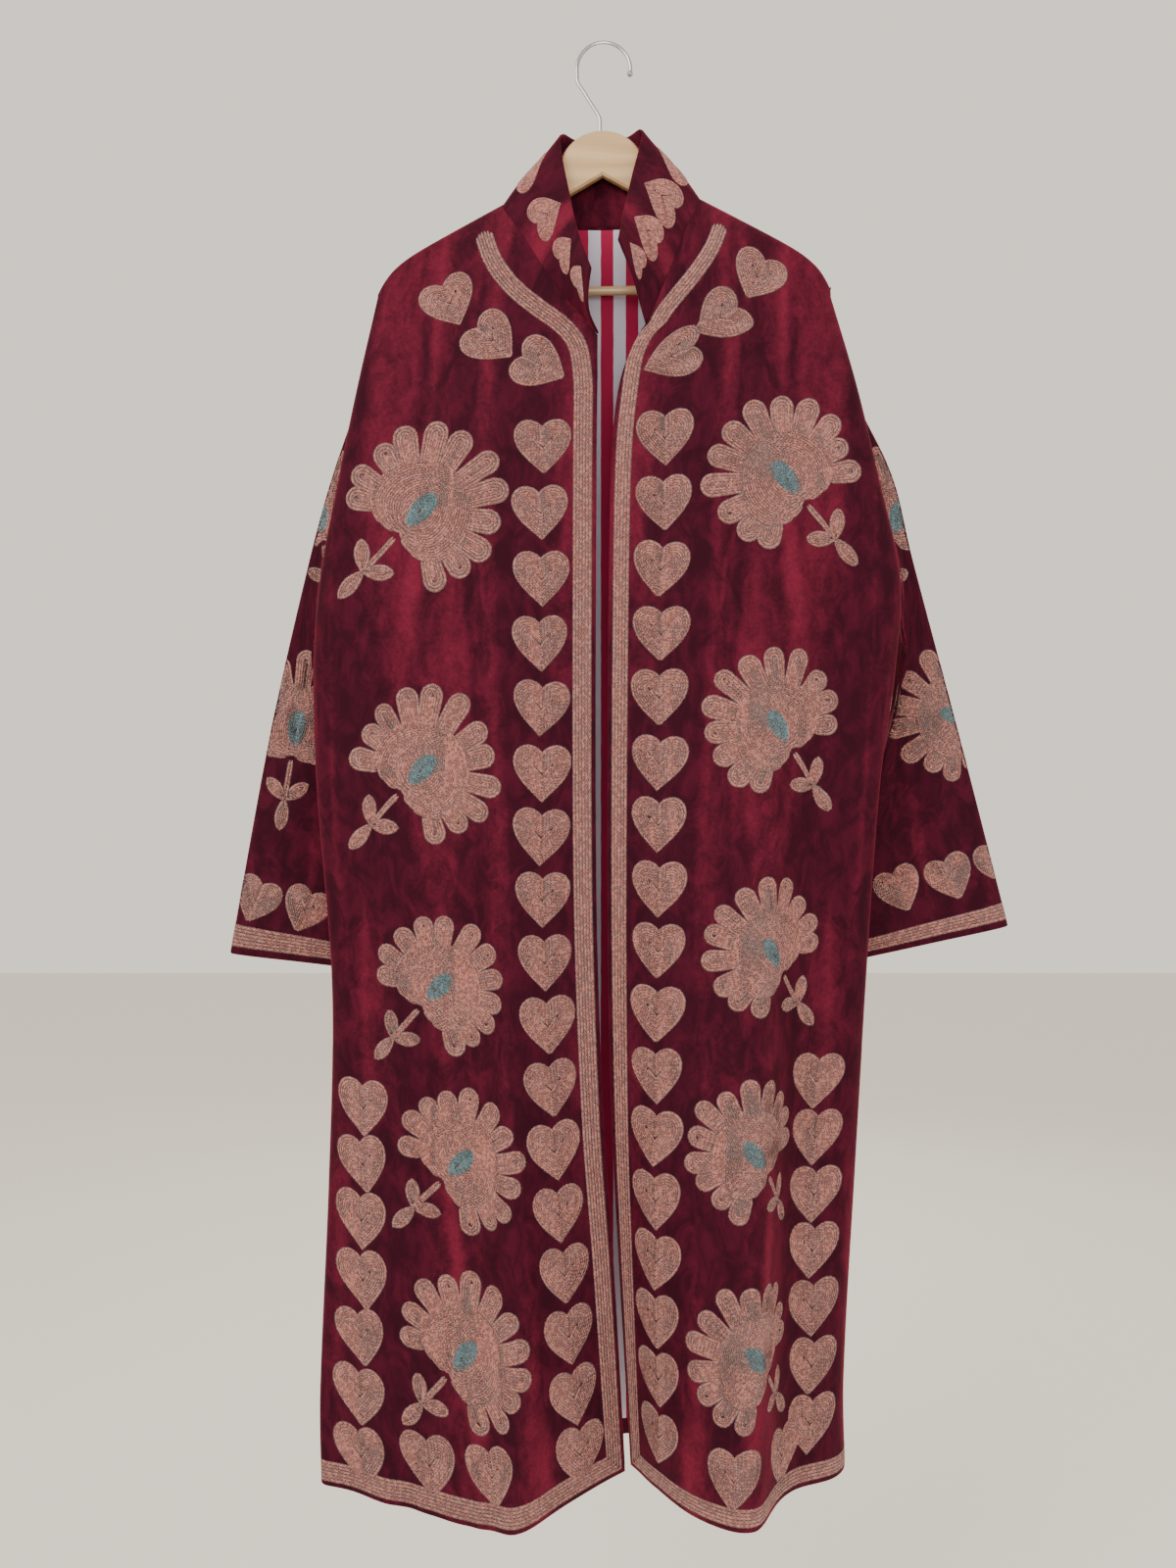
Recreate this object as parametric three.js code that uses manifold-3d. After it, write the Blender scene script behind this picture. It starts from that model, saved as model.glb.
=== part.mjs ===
// A long velvet duster coat with a stand collar and a striped cotton lining,
// hung on a flat wooden hanger with a trouser bar and a steel hook.
// Units are millimetres. X runs to the viewer's right, Y away from the viewer, Z up.
// The origin is the underside of the hook's crown, where the hanger is held.
// Left and right are as seen from the front, so the left pieces have negative X.
import * as THREE from "three";
import { mergeVertices } from "three/addons/utils/BufferGeometryUtils.js";
import Module from "manifold-3d";

// Cloth
const VELVET_WALL = 2.4;
const LINING_WALL = 0.8;
const SEAM_GAP = 0.3;
const SEWN_GAP = 0.4;
const PIT_SHARE = 0.14;

// Shoulders and length
const SHOULDER = { neck_x: 97, neck_z: -155, slope: 0.53, tip_x: 219, tip_drop: 20, tip_power: 16, parting: 0.3 };
const TILT = 0.016;
const HEM_Z = -1358;
const SLIT_TOP_Z = -961;
const ARMHOLE = { top_z: -345, bottom_z: -550, opening_angle: 27, opening_power: 0.7 };

// Hanger
const WOOD = {
  thickness: 10,
  bevel: 2,
  room: 1.6,
  head_radius: 43,
  apex_z: -128,
  head_end_angle: 0.16,
  neck_x: 52,
  neck_rise: 1,
  under_fold: 4.6,
  middle_z: -190,
};
// The arm's top follows the cloth at these places, then the outline goes round the lobe that holds the bar
const ARM_TOP_X = [70, 100, 130, 160, 175, 187, 195];
const LOBE = [
  { x: 201, z: -222.7 },
  { x: 201, z: -239 },
  { x: 194, z: -249 },
  { x: 185, z: -251 },
  { x: 178, z: -250 },
  { x: 172, z: -244 },
  { x: 170, z: -224.9 },
];
const BAR = { radius: 4.3, z: -239, half_length: 180, sides: 16 };
const HOOK = {
  ring_radius: 26,
  ring_starts: 188,
  ring_ends: -14,
  ring_step: 11,
  wire_radius: 1.8,
  wire_sides: 8,
  wire_steps: 44,
  foot_z: -101,
  socket_depth: 40,
  ball_radius: 2.9,
};
// The wire's straight stem, and the slope that leans out to the ring
const STEM = { x: -3.5, top_z: -74, points: 5 };
const LEAN = { from_x: -4.7, from_z: -69.5, to_x: -25.4, to_z: -36.2, points: 5 };
const ARM_DEPTH = WOOD.thickness / 2 + WOOD.room + LINING_WALL + SEAM_GAP + VELVET_WALL;

// Where the fabric turns round each side and where the front edges hang, by height
const OUTLINE = [
  { z: -246, left: -219, right: 220 },
  { z: -331, left: -236, right: 242 },
  { z: -425, left: -254, right: 263 },
  { z: -520, left: -271, right: 283 },
  { z: -600, left: -277, right: 279 },
  { z: -717, left: -274, right: 263 },
  { z: -905, left: -259, right: 249 },
  { z: -1093, left: -260, right: 238 },
  { z: -1281, left: -264, right: 228 },
  { z: -1358, left: -261, right: 229 },
];
const FRONT_EDGES = [
  { z: -298, left: -7, right: 6 },
  { z: -425, left: -8.4, right: 5.5 },
  { z: -811, left: -8.4, right: 3.5 },
  { z: -1026, left: -1.6, right: 7 },
  { z: -1170, left: 8.5, right: 14 },
  { z: -1358, left: 19.5, right: 25 },
];
// The right front falls open below the collar
const FALLEN_EDGE = { from_z: -287, open: 33.5, reach: 45 };

// How far the cloth stands in front of the hanger, at the front edge, at three places across and at the side
const DEPTHS = {
  left: [
    { z: -240, edge: 48, inner: 46, middle: 40, outer: 30, side: 0 },
    { z: -350, edge: 54, inner: 56, middle: 52, outer: 42, side: 6 },
    { z: -560, edge: 56, inner: 64, middle: 60, outer: 50, side: 10 },
    { z: -800, edge: 56, inner: 68, middle: 64, outer: 54, side: 12 },
    { z: -1000, edge: 54, inner: 74, middle: 70, outer: 58, side: 14 },
    { z: -1200, edge: 50, inner: 84, middle: 82, outer: 66, side: 36 },
    { z: -1358, edge: 44, inner: 94, middle: 94, outer: 74, side: 58 },
  ],
  right: [
    { z: -240, edge: 48, inner: 46, middle: 40, outer: 30, side: 0 },
    { z: -350, edge: 55, inner: 58, middle: 54, outer: 44, side: 6 },
    { z: -560, edge: 58, inner: 68, middle: 66, outer: 50, side: 10 },
    { z: -800, edge: 58, inner: 78, middle: 78, outer: 54, side: 12 },
    { z: -1000, edge: 54, inner: 88, middle: 90, outer: 58, side: 13 },
    { z: -1200, edge: 42, inner: 98, middle: 106, outer: 68, side: 4 },
    { z: -1358, edge: 30, inner: 106, middle: 120, outer: 82, side: -5 },
  ],
};
// How far the back stands behind the hanger at its centre and at its two side edges below the slits' tops
const BACK_DEPTHS = [
  { z: -240, centre: 16, left: 0, right: 0 },
  { z: -350, centre: 17, left: -6, right: -6 },
  { z: -560, centre: 16, left: -10, right: -10 },
  { z: -961, centre: 16, left: -13.4, right: -12.6 },
  { z: -1060, centre: 17, left: -6, right: -3 },
  { z: -1200, centre: 20, left: -3, right: 6 },
  { z: -1358, centre: 24, left: 0, right: 14 },
];
// Soft vertical folds: where each starts and ends, how high its ridge is at the hem, its width each side.
// A fold has its full height from FOLD_GROWN of its way down.
const FOLD_GROWN = 0.8;
const FOLDS = [
  { panel: "left", x_top: -100, x_hem: -77, starts: -330, height: 17, width_inside: 26, width_outside: 24 },
  { panel: "left", x_top: -190, x_hem: -200, starts: -420, height: 12, width_inside: 22, width_outside: 26 },
  { panel: "right", x_top: 168, x_hem: 130, starts: -360, height: 22, width_inside: 36, width_outside: 18 },
  { panel: "back", x_top: -150, x_hem: -165, starts: -520, height: 12, width_inside: 30, width_outside: 26 },
  { panel: "back", x_top: -40, x_hem: -52, starts: -330, height: 10, width_inside: 26, width_outside: 30 },
  { panel: "back", x_top: 70, x_hem: 62, starts: -360, height: 11, width_inside: 30, width_outside: 26 },
  { panel: "back", x_top: 150, x_hem: 160, starts: -560, height: 12, width_inside: 26, width_outside: 30 },
];

// The neckline's points on each front, from the front neck point up to the hanger's arm, and on half the back
const NECKLINES = {
  left: [
    { x: -7, z: -298 },
    { x: -27, z: -274 },
    { x: -47.5, z: -247 },
    { x: -63, z: -222 },
    { x: -78, z: -196 },
    { x: -95.2, z: -168 },
    { x: -96.6, z: -161 },
    { x: -96.85, z: -158.4 },
  ],
  right: [
    { x: 39.4, z: -287 },
    { x: 49, z: -265 },
    { x: 58.6, z: -242 },
    { x: 69, z: -216 },
    { x: 78, z: -190 },
    { x: 91.2, z: -162 },
    { x: 92.6, z: -155.5 },
    { x: 92.85, z: -153.2 },
  ],
  back: [
    { x: 0, z: -172 },
    { x: 24, z: -171.5 },
    { x: 48, z: -170 },
    { x: 70, z: -168 },
    { x: 90.6, z: -165 },
    { x: 92.4, z: -158.6 },
    { x: 92.8, z: -156.6 },
  ],
};
const NECK_POINT_X = { left: -97, right: 93 };

// The collar's upper edge and outward belly by place along its seam, from the left front end to the right one
const COLLAR = [
  { place: 0, top_x: -14, top_y: -84, top_z: -250, belly: 9 },
  { place: 0.11, top_x: -25, top_y: -54, top_z: -206, belly: 5 },
  { place: 0.22, top_x: -33, top_y: -31, top_z: -161, belly: 4 },
  { place: 0.33, top_x: -43, top_y: -4, top_z: -92, belly: 2 },
  { place: 0.42, top_x: -28, top_y: 12, top_z: -88, belly: 2 },
  { place: 0.53, top_x: -2, top_y: 17, top_z: -88, belly: 1 },
  { place: 0.63, top_x: 24, top_y: 12, top_z: -85, belly: 2 },
  { place: 0.71, top_x: 38, top_y: -4, top_z: -86, belly: 2 },
  { place: 0.8, top_x: 28, top_y: -24, top_z: -136, belly: 4 },
  { place: 0.9, top_x: 19, top_y: -46, top_z: -182, belly: 4 },
  { place: 1, top_x: 14, top_y: -68, top_z: -217, belly: 3 },
];
const COLLAR_HEIGHTS = [0.22, 0.48, 0.74, 1];

// The sleeves: their outer and inner folds from the armhole to the cuff, and half their thickness
const SLEEVES = {
  left: [
    { along: 0, outer_x: -240, outer_y: 1, outer_z: -346, inner_x: -275, inner_y: 0, inner_z: -546, half: 5 },
    { along: 0.15, outer_x: -266, outer_y: 11, outer_z: -421, inner_x: -284, inner_y: 14, inner_z: -594, half: 9 },
    { along: 0.3, outer_x: -289, outer_y: 18, outer_z: -500, inner_x: -276, inner_y: 26, inner_z: -650, half: 11 },
    { along: 0.6, outer_x: -328, outer_y: 25, outer_z: -663, inner_x: -238, inner_y: 31, inner_z: -756, half: 11 },
    { along: 1, outer_x: -369, outer_y: 28, outer_z: -883, inner_x: -194, inner_y: 32, inner_z: -904, half: 10 },
  ],
  right: [
    { along: 0, outer_x: 247, outer_y: 1, outer_z: -346, inner_x: 286, inner_y: 0, inner_z: -546, half: 5 },
    { along: 0.15, outer_x: 281, outer_y: 11, outer_z: -414, inner_x: 296, inner_y: 14, inner_z: -594, half: 9 },
    { along: 0.3, outer_x: 302, outer_y: 18, outer_z: -492, inner_x: 286, inner_y: 26, inner_z: -648, half: 11 },
    { along: 0.6, outer_x: 350, outer_y: 25, outer_z: -664, inner_x: 260, inner_y: 31, inner_z: -750, half: 11 },
    { along: 1, outer_x: 400, outer_y: 28, outer_z: -856, inner_x: 229, inner_y: 32, inner_z: -894, half: 10 },
  ],
};
const SLEEVE_ROWS = [0.04, 0.1, 0.18, 0.28, 0.4, 0.52, 0.64, 0.76, 0.88, 1];
const ROOT_BLEND = 0.2;

// The body's squarish section and its grid lines
const SECTION_POWER = 4;
const SIDE_SEAM_ANGLE = 93;
const STRAIGHT_SHARE = 0.8;
const FRONT_SHOULDER_COLUMNS = 6;
const BACK_SHOULDER_COLUMNS = 3;
const FRONT_TURN = [52, 64, 75, 85, 90.5, SIDE_SEAM_ANGLE];
const BACK_TURN = [SIDE_SEAM_ANGLE, 101, 112, 126];
const TOP_DROPS = [0, 0.7, 2.4, 5.2, 9.5, 18];
const YOKE_ROWS = 2;
const ARMHOLE_ROWS = 5;
const WAIST_ROWS = 5;
const SKIRT_ROWS = 5;
const SETTLING = 60;
const TURNING_RATE = 2;
const SETTLING_STEPS = 40;
const SETTLING_SHARE = 0.6;
const LINING_TOP_ROW = 4;
const SQUARE_ROWS = 2;

const COLOURS = {
  velvet: { color: "#4a0c22", roughness: 0.85, metalness: 0 },
  lining: { color: "#b7b2bd", roughness: 0.8, metalness: 0 },
  wood: { color: "#c9a06c", roughness: 0.5, metalness: 0 },
  steel: { color: "#b8babd", roughness: 0.3, metalness: 1 },
};

const { degToRad, radToDeg, clamp, lerp, smoothstep } = THREE.MathUtils;

// A smooth cubic through a table's rows: one column as a function of another
function track(rows, key, column) {
  const sorted = [...rows].sort((a, b) => a[key] - b[key]);
  const slope = (i) => {
    const before = sorted[Math.max(i - 1, 0)];
    const after = sorted[Math.min(i + 1, sorted.length - 1)];
    return (after[column] - before[column]) / (after[key] - before[key]);
  };
  return (at) => {
    if (at <= sorted[0][key]) return sorted[0][column];
    if (at >= sorted[sorted.length - 1][key]) return sorted[sorted.length - 1][column];
    const i = sorted.findIndex((row) => row[key] >= at) - 1;
    const [a, b] = [sorted[i], sorted[i + 1]];
    const span = b[key] - a[key];
    const t = (at - a[key]) / span;
    const [t2, t3] = [t * t, t * t * t];
    return (
      (2 * t3 - 3 * t2 + 1) * a[column] +
      (t3 - 2 * t2 + t) * span * slope(i) +
      (3 * t2 - 2 * t3) * b[column] +
      (t3 - t2) * span * slope(i + 1)
    );
  };
}

// One function for each named column of a table
function tracks(rows, key, columns) {
  return Object.fromEntries(columns.map((column) => [column, track(rows, key, column)]));
}

const FRONT_COLUMNS = ["edge", "inner", "middle", "outer", "side"];
const SLEEVE_COLUMNS = ["outer_x", "outer_y", "outer_z", "inner_x", "inner_y", "inner_z", "half"];
const sideX = tracks(OUTLINE, "z", ["left", "right"]);
const straightEdgeX = tracks(FRONT_EDGES, "z", ["left", "right"]);
const backDepth = tracks(BACK_DEPTHS, "z", ["centre", "left", "right"]);
const collarEdge = tracks(COLLAR, "place", ["top_x", "top_y", "top_z", "belly"]);
const frontDepth = {
  left: tracks(DEPTHS.left, "z", FRONT_COLUMNS),
  right: tracks(DEPTHS.right, "z", FRONT_COLUMNS),
};
const sleeveFolds = {
  left: tracks(SLEEVES.left, "along", SLEEVE_COLUMNS),
  right: tracks(SLEEVES.right, "along", SLEEVE_COLUMNS),
};

// Evenly spaced values after the first one, up to and with the last
function between(from, to, count) {
  return Array.from({ length: count }, (_, i) => lerp(from, to, (i + 1) / count));
}

function edgeX(panel, z) {
  const straight = straightEdgeX[panel](z);
  if (panel === "left") return straight;
  const below = Math.max(FALLEN_EDGE.from_z - z, 0);
  return straight + FALLEN_EDGE.open * Math.exp(-below / FALLEN_EDGE.reach);
}

// The fold over the hanger's arm, in the hanger's own level
function armFoldZ(x) {
  const out = Math.min(Math.abs(x), SHOULDER.tip_x);
  const tipDrop = SHOULDER.tip_drop * (out / SHOULDER.tip_x) ** SHOULDER.tip_power;
  return SHOULDER.neck_z - SHOULDER.slope * (out - SHOULDER.neck_x) - tipDrop;
}

function shoulderZ(x) {
  return armFoldZ(x) + TILT * x;
}

function foldHeight(panel, x, z) {
  let height = 0;
  for (const fold of FOLDS.filter((f) => f.panel === panel)) {
    const down = clamp((fold.starts - z) / (fold.starts - HEM_Z), 0, 1);
    const ridge = lerp(fold.x_top, fold.x_hem, down);
    const outside = Math.abs(x) > Math.abs(ridge);
    const width = outside ? fold.width_outside : fold.width_inside;
    height += fold.height * smoothstep(down, 0, FOLD_GROWN) * Math.exp(-(((x - ridge) / width) ** 2));
  }
  return height;
}

// Depth of a front across its width, before it turns round the side
function openDepth(panel, share, z) {
  const columns = ["edge", "inner", "middle", "outer", "outer"];
  const stations = columns.map((column, i) => ({ share: i / 4, depth: frontDepth[panel][column](z) }));
  return track(stations, "share", "depth")(share);
}

// The share of the width that an angle reaches, and the angle that reaches a share. Angles run from 0 at the
// front edge, through 90 at the side, to 180 at the back's centre, and the section is a squarish oval.
function shareOfAngle(angle) {
  return Math.abs(Math.sin(degToRad(angle))) ** (2 / SECTION_POWER);
}

function angleOfShare(share) {
  return radToDeg(Math.asin(clamp(share, 0, 1) ** (SECTION_POWER / 2)));
}

function sectionStart(panel, z, back) {
  return back ? 0 : edgeX(panel, z);
}

function angleAt(panel, x, z, back) {
  const start = sectionStart(panel, z, back);
  const angle = angleOfShare((x - start) / (sideX[panel](z) - start));
  return back ? 180 - angle : angle;
}

// A point of the body's outside. The section closes over the hanger's arm at the shoulder.
function bodyPoint(panel, angle, z, back = false) {
  const turn = degToRad(angle);
  const across = shareOfAngle(angle);
  const closing = Math.abs(Math.cos(turn)) ** (2 / SECTION_POWER);
  const start = sectionStart(panel, z, back);
  const x = start + (sideX[panel](z) - start) * across;
  const inSlit = z < SLIT_TOP_Z;
  const side = back && inSlit ? -backDepth[panel](z) : frontDepth[panel].side(z);
  let y = -side;
  if (angle <= 90) {
    y -= (openDepth(panel, across, z) + foldHeight(panel, x, z) - side) * closing;
  } else {
    const fold = back ? foldHeight("back", x, z) : 0;
    y += (backDepth.centre(z) + side + fold) * closing;
  }
  const below = Math.max(shoulderZ(x) - z, 0);
  const facing = clamp(-TURNING_RATE * Math.cos(turn), -1, 1);
  const topShare = Math.max(1 - below / ARM_DEPTH, 0);
  const rounding = Math.sqrt(1 - topShare ** 2);
  const settled = 1 - Math.exp(-below / SETTLING);
  y = facing * ARM_DEPTH * rounding + (y - facing * ARM_DEPTH) * settled;
  const parting = SEAM_GAP / 2 + SHOULDER.parting * topShare;
  return new THREE.Vector3(x, back ? y + parting : y - parting, z);
}

// Outside the neck, a column starts on the shoulder's fold
function shoulderTop(panel, angle, back) {
  let z = SHOULDER.neck_z;
  for (let i = 0; i < SETTLING_STEPS; i++) {
    const start = sectionStart(panel, z, back);
    z = lerp(z, shoulderZ(start + (sideX[panel](z) - start) * shareOfAngle(angle)), SETTLING_SHARE);
  }
  return z;
}

// Heights of a column's rows: close together over the shoulder, then the same on every column
function rowHeights(top) {
  const first = TOP_DROPS.map((drop) => top - drop);
  return [
    ...first,
    ...between(first[first.length - 1], ARMHOLE.top_z, YOKE_ROWS),
    ...between(ARMHOLE.top_z, ARMHOLE.bottom_z, ARMHOLE_ROWS),
    ...between(ARMHOLE.bottom_z, SLIT_TOP_Z, WAIST_ROWS),
    ...between(SLIT_TOP_Z, HEM_Z, SKIRT_ROWS),
  ];
}
const ARMHOLE_ROW = TOP_DROPS.length + YOKE_ROWS - 1;

// A grid of points and outward normals: rows go down, columns go across
function panelGrid(columns, surface, outward) {
  const step = 0.02;
  const heights = columns.map(({ top }) => rowHeights(top));
  const points = [];
  const normals = [];
  for (let r = 0; r < heights[0].length; r++) {
    points.push(columns.map(({ angle }, c) => surface(angle, heights[c][r])));
    normals.push(
      columns.map(({ angle, top }, c) => {
        const z = heights[c][r];
        const middle = Math.max(angle, 2 * step);
        const across = surface(middle + step, z).sub(surface(middle - step, z));
        const down = surface(angle, z - step).sub(surface(angle, Math.min(z + step, top)));
        return across.cross(down).multiplyScalar(outward).normalize();
      }),
    );
  }
  return { points, normals };
}

// On the shoulder and side seams the front and the back face each other squarely
function squareSeams(grid, onSeam) {
  grid.normals.forEach((row, r) => row.forEach((normal, c) => onSeam(r, c) && normal.setY(0).normalize()));
}

// Normals of a grid that no formula gives, from each point's neighbours
function neighbourNormals(points, outward, wrap) {
  const cols = points[0].length;
  const column = (c) => (wrap ? (c + cols) % cols : clamp(c, 0, cols - 1));
  return points.map((row, r) =>
    row.map((_, c) => {
      const across = row[column(c + 1)].clone().sub(row[column(c - 1)]);
      const down = points[Math.min(r + 1, points.length - 1)][c].clone().sub(points[Math.max(r - 1, 0)][c]);
      return across.cross(down).multiplyScalar(outward).normalize();
    }),
  );
}

function moved(grid, distance) {
  return grid.points.map((row, r) => row.map((p, c) => p.clone().addScaledVector(grid.normals[r][c], distance)));
}

// A closed solid between two layers of one grid, over the cells that keep() allows
function wall(grid, from, to, keep = () => true, wrap = false) {
  const layers = [moved(grid, to), moved(grid, from)];
  const rows = grid.points.length;
  const cols = grid.points[0].length;
  const cellCols = wrap ? cols : cols - 1;
  const index = (layer, r, c) => (layer * rows + r) * cols + (c % cols);
  const kept = (r, c) => {
    if (r < 0 || r >= rows - 1) return false;
    if (!wrap && (c < 0 || c >= cellCols)) return false;
    return keep(r, (c + cellCols) % cellCols);
  };
  const faces = [];
  const quad = (a, b, c, d) => faces.push(a, b, c, a, c, d);
  for (let r = 0; r < rows - 1; r++) {
    for (let c = 0; c < cellCols; c++) {
      if (!kept(r, c)) continue;
      const corners = [[r, c], [r + 1, c], [r + 1, c + 1], [r, c + 1]];
      const [a, b, e, d] = corners.map(([i, j]) => index(0, i, j));
      const [a2, b2, e2, d2] = corners.map(([i, j]) => index(1, i, j));
      quad(a, b, e, d);
      quad(a2, d2, e2, b2);
      if (!kept(r, c - 1)) quad(b, a, a2, b2);
      if (!kept(r + 1, c)) quad(e, b, b2, e2);
      if (!kept(r, c + 1)) quad(e, e2, d2, d);
      if (!kept(r - 1, c)) quad(a, d, d2, a2);
    }
  }
  return facingOut(layers.flat(2).flatMap((p) => p.toArray()), faces);
}

function facingOut(positions, faces) {
  const point = (i) => new THREE.Vector3().fromArray(positions, i * 3);
  let volume = 0;
  for (let i = 0; i < faces.length; i += 3) {
    volume += point(faces[i]).dot(point(faces[i + 1]).cross(point(faces[i + 2])));
  }
  if (volume < 0) faces.reverse();
  const geometry = new THREE.BufferGeometry();
  geometry.setAttribute("position", new THREE.Float32BufferAttribute(positions, 3));
  geometry.setIndex(faces);
  return geometry.toNonIndexed();
}

// Front panels
function frontGrid(panel) {
  const outward = panel === "left" ? 1 : -1;
  const neckAngle = angleAt(panel, NECK_POINT_X[panel], shoulderZ(NECK_POINT_X[panel]), false);
  const shares = between(shareOfAngle(neckAngle), STRAIGHT_SHARE, FRONT_SHOULDER_COLUMNS);
  const outer = [neckAngle, ...shares.map(angleOfShare), ...FRONT_TURN];
  const columns = [
    ...NECKLINES[panel].map(({ x, z }) => ({ angle: angleAt(panel, x, z, false), top: z })),
    ...outer.map((angle) => ({ angle, top: shoulderTop(panel, angle, false) })),
  ];
  const grid = panelGrid(columns, (angle, z) => bodyPoint(panel, angle, z), outward);
  const neck = NECKLINES[panel].length;
  squareSeams(grid, (r, c) => c === columns.length - 1 || (r < SQUARE_ROWS && c >= neck));
  return { ...grid, cols: columns.length, neck };
}

// Half the back panel, from its side seam to its neckline. On the right the angles run on past 180.
function backHalf(panel) {
  const sign = panel === "left" ? -1 : 1;
  const neckAngle = angleAt(panel, NECK_POINT_X[panel], shoulderZ(NECK_POINT_X[panel]), true);
  const shares = between(STRAIGHT_SHARE, shareOfAngle(neckAngle), BACK_SHOULDER_COLUMNS).slice(0, -1);
  const outer = [...BACK_TURN, ...[STRAIGHT_SHARE, ...shares].map((share) => 180 - angleOfShare(share)), neckAngle];
  const scale = Math.abs(NECK_POINT_X[panel]) / NECK_POINT_X.right;
  const full = (angle) => (panel === "left" ? angle : 360 - angle);
  return [
    ...outer.map((angle) => ({ angle: full(angle), top: shoulderTop(panel, angle, true) })),
    ...NECKLINES.back.slice(1).reverse().map((row) => {
      const x = sign * row.x * scale;
      const z = row.z + TILT * x;
      return { angle: full(angleAt(panel, x, z, true)), top: z };
    }),
  ];
}

// Inside the armhole the back starts further round, which leaves the sleeve's opening
function openedAngle(angle, z) {
  const share = (ARMHOLE.top_z - z) / (ARMHOLE.top_z - ARMHOLE.bottom_z);
  if (share <= 0 || share >= 1) return angle;
  const opening = ARMHOLE.opening_angle * Math.sin(Math.PI * share) ** ARMHOLE.opening_power;
  const span = 180 - SIDE_SEAM_ANGLE;
  return 180 - ((180 - angle) * (span - opening)) / span;
}

function backPoint(angle, z) {
  const panel = angle <= 180 ? "left" : "right";
  const own = angle <= 180 ? angle : 360 - angle;
  return bodyPoint(panel, openedAngle(own, z), z, true);
}

function backGrid() {
  const left = backHalf("left");
  const columns = [...left, { angle: 180, top: NECKLINES.back[0].z }, ...backHalf("right").reverse()];
  const grid = panelGrid(columns, backPoint, 1);
  const shoulder = left.length - NECKLINES.back.length;
  const last = columns.length - 1;
  const inArmhole = (r) => r > ARMHOLE_ROW && r < ARMHOLE_ROW + ARMHOLE_ROWS;
  const onSide = (r, c) => (c === 0 || c === last) && !inArmhole(r);
  squareSeams(grid, (r, c) => onSide(r, c) || (r < SQUARE_ROWS && (c <= shoulder || c >= last - shoulder)));
  return { ...grid, cols: columns.length, shoulder };
}

// Where a sewn-on piece starts along the rims of panels: a gap away from the cloth and level with it
function seam(stations, outward, closed) {
  const count = stations.length;
  const at = (i) => stations[closed ? (i + count) % count : clamp(i, 0, count - 1)];
  return stations.map(({ point, normal }, i) => {
    const along = at(i + 1).point.clone().sub(at(i - 1).point);
    const away = along.cross(normal).multiplyScalar(outward).normalize();
    return { point: point.clone().addScaledVector(away, SEWN_GAP), normal };
  });
}

function rim(grid, places) {
  return places.map(([r, c]) => ({ point: grid.points[r][c], normal: grid.normals[r][c] }));
}

function partway(a, b, share) {
  return { point: a.point.clone().lerp(b.point, share), normal: a.normal.clone().lerp(b.normal, share).normalize() };
}

// Sleeves. The armhole's places go down the front's rim and up the back's, with one between each two rows.
const ARMHOLE_BOTTOM = 2 * ARMHOLE_ROWS;
const ARMHOLE_PLACES = [...Array(2 * ARMHOLE_BOTTOM).keys()];

function armholeSeam(panel, front, back) {
  const rows = [...Array(ARMHOLE_ROWS + 1).keys()].map((i) => ARMHOLE_ROW + i);
  const frontRim = rim(front, rows.map((r) => [r, front.cols - 1]));
  const backRim = rim(back, rows.map((r) => [r, panel === "left" ? 0 : back.cols - 1]));
  const stations = ARMHOLE_PLACES.map((place) => {
    if (place % ARMHOLE_BOTTOM === 0) {
      const end = place / 2;
      const next = end === 0 ? 1 : end - 1;
      const [onFront, onBack] = [frontRim, backRim].map((side) => partway(side[end], side[next], PIT_SHARE));
      return partway(onFront, onBack, 0.5);
    }
    const side = place < ARMHOLE_BOTTOM ? frontRim : backRim;
    const down = place < ARMHOLE_BOTTOM ? place : 2 * ARMHOLE_BOTTOM - place;
    return partway(side[Math.floor(down / 2)], side[Math.ceil(down / 2)], 0.5);
  });
  return seam(stations, panel === "left" ? 1 : -1, true);
}

// A flattened tube: the places in front of the fold at the bottom lie on its front layer, the others on its back
function sleevePoint(panel, place, along) {
  const value = (column) => sleeveFolds[panel][column](along);
  const layer = place < ARMHOLE_BOTTOM ? -1 : 1;
  const share = (1 - Math.cos((Math.PI * place) / ARMHOLE_BOTTOM)) / 2;
  const outer = new THREE.Vector3(value("outer_x"), value("outer_y"), value("outer_z"));
  const inner = new THREE.Vector3(value("inner_x"), value("inner_y"), value("inner_z"));
  const point = outer.lerp(inner, share);
  const roundness = clamp(1 - Math.abs(2 * share - 1) ** SECTION_POWER, 0, 1) ** (1 / SECTION_POWER);
  point.y += layer * value("half") * roundness;
  return point;
}

function sleeveGrid(panel, front, back) {
  const root = armholeSeam(panel, front, back);
  const points = [root.map((station) => station.point)];
  for (const along of SLEEVE_ROWS) {
    const blend = Math.max(1 - along / ROOT_BLEND, 0) ** 2;
    points.push(root.map((station, i) => sleevePoint(panel, i, along).lerp(station.point, blend)));
  }
  const normals = neighbourNormals(points, panel === "left" ? -1 : 1, true);
  normals[0] = root.map((station) => station.normal);
  return { points, normals };
}

// Collar
function neckSeam(left, back, right) {
  const frontPlaces = (grid) => [...Array(grid.neck).keys()].map((c) => [0, c]);
  const backEnd = back.cols - 1 - back.shoulder;
  const backPlaces = [...Array(back.cols).keys()].filter((c) => c > back.shoulder && c < backEnd).map((c) => [0, c]);
  const corner = (front, c) => partway(...rim(front, [[0, front.neck]]), ...rim(back, [[0, c]]), 0.5);
  const stations = [
    ...rim(left, frontPlaces(left)),
    corner(left, back.shoulder),
    ...rim(back, backPlaces),
    corner(right, backEnd),
    ...rim(right, frontPlaces(right).reverse()),
  ];
  return seam(stations, 1, false);
}

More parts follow.
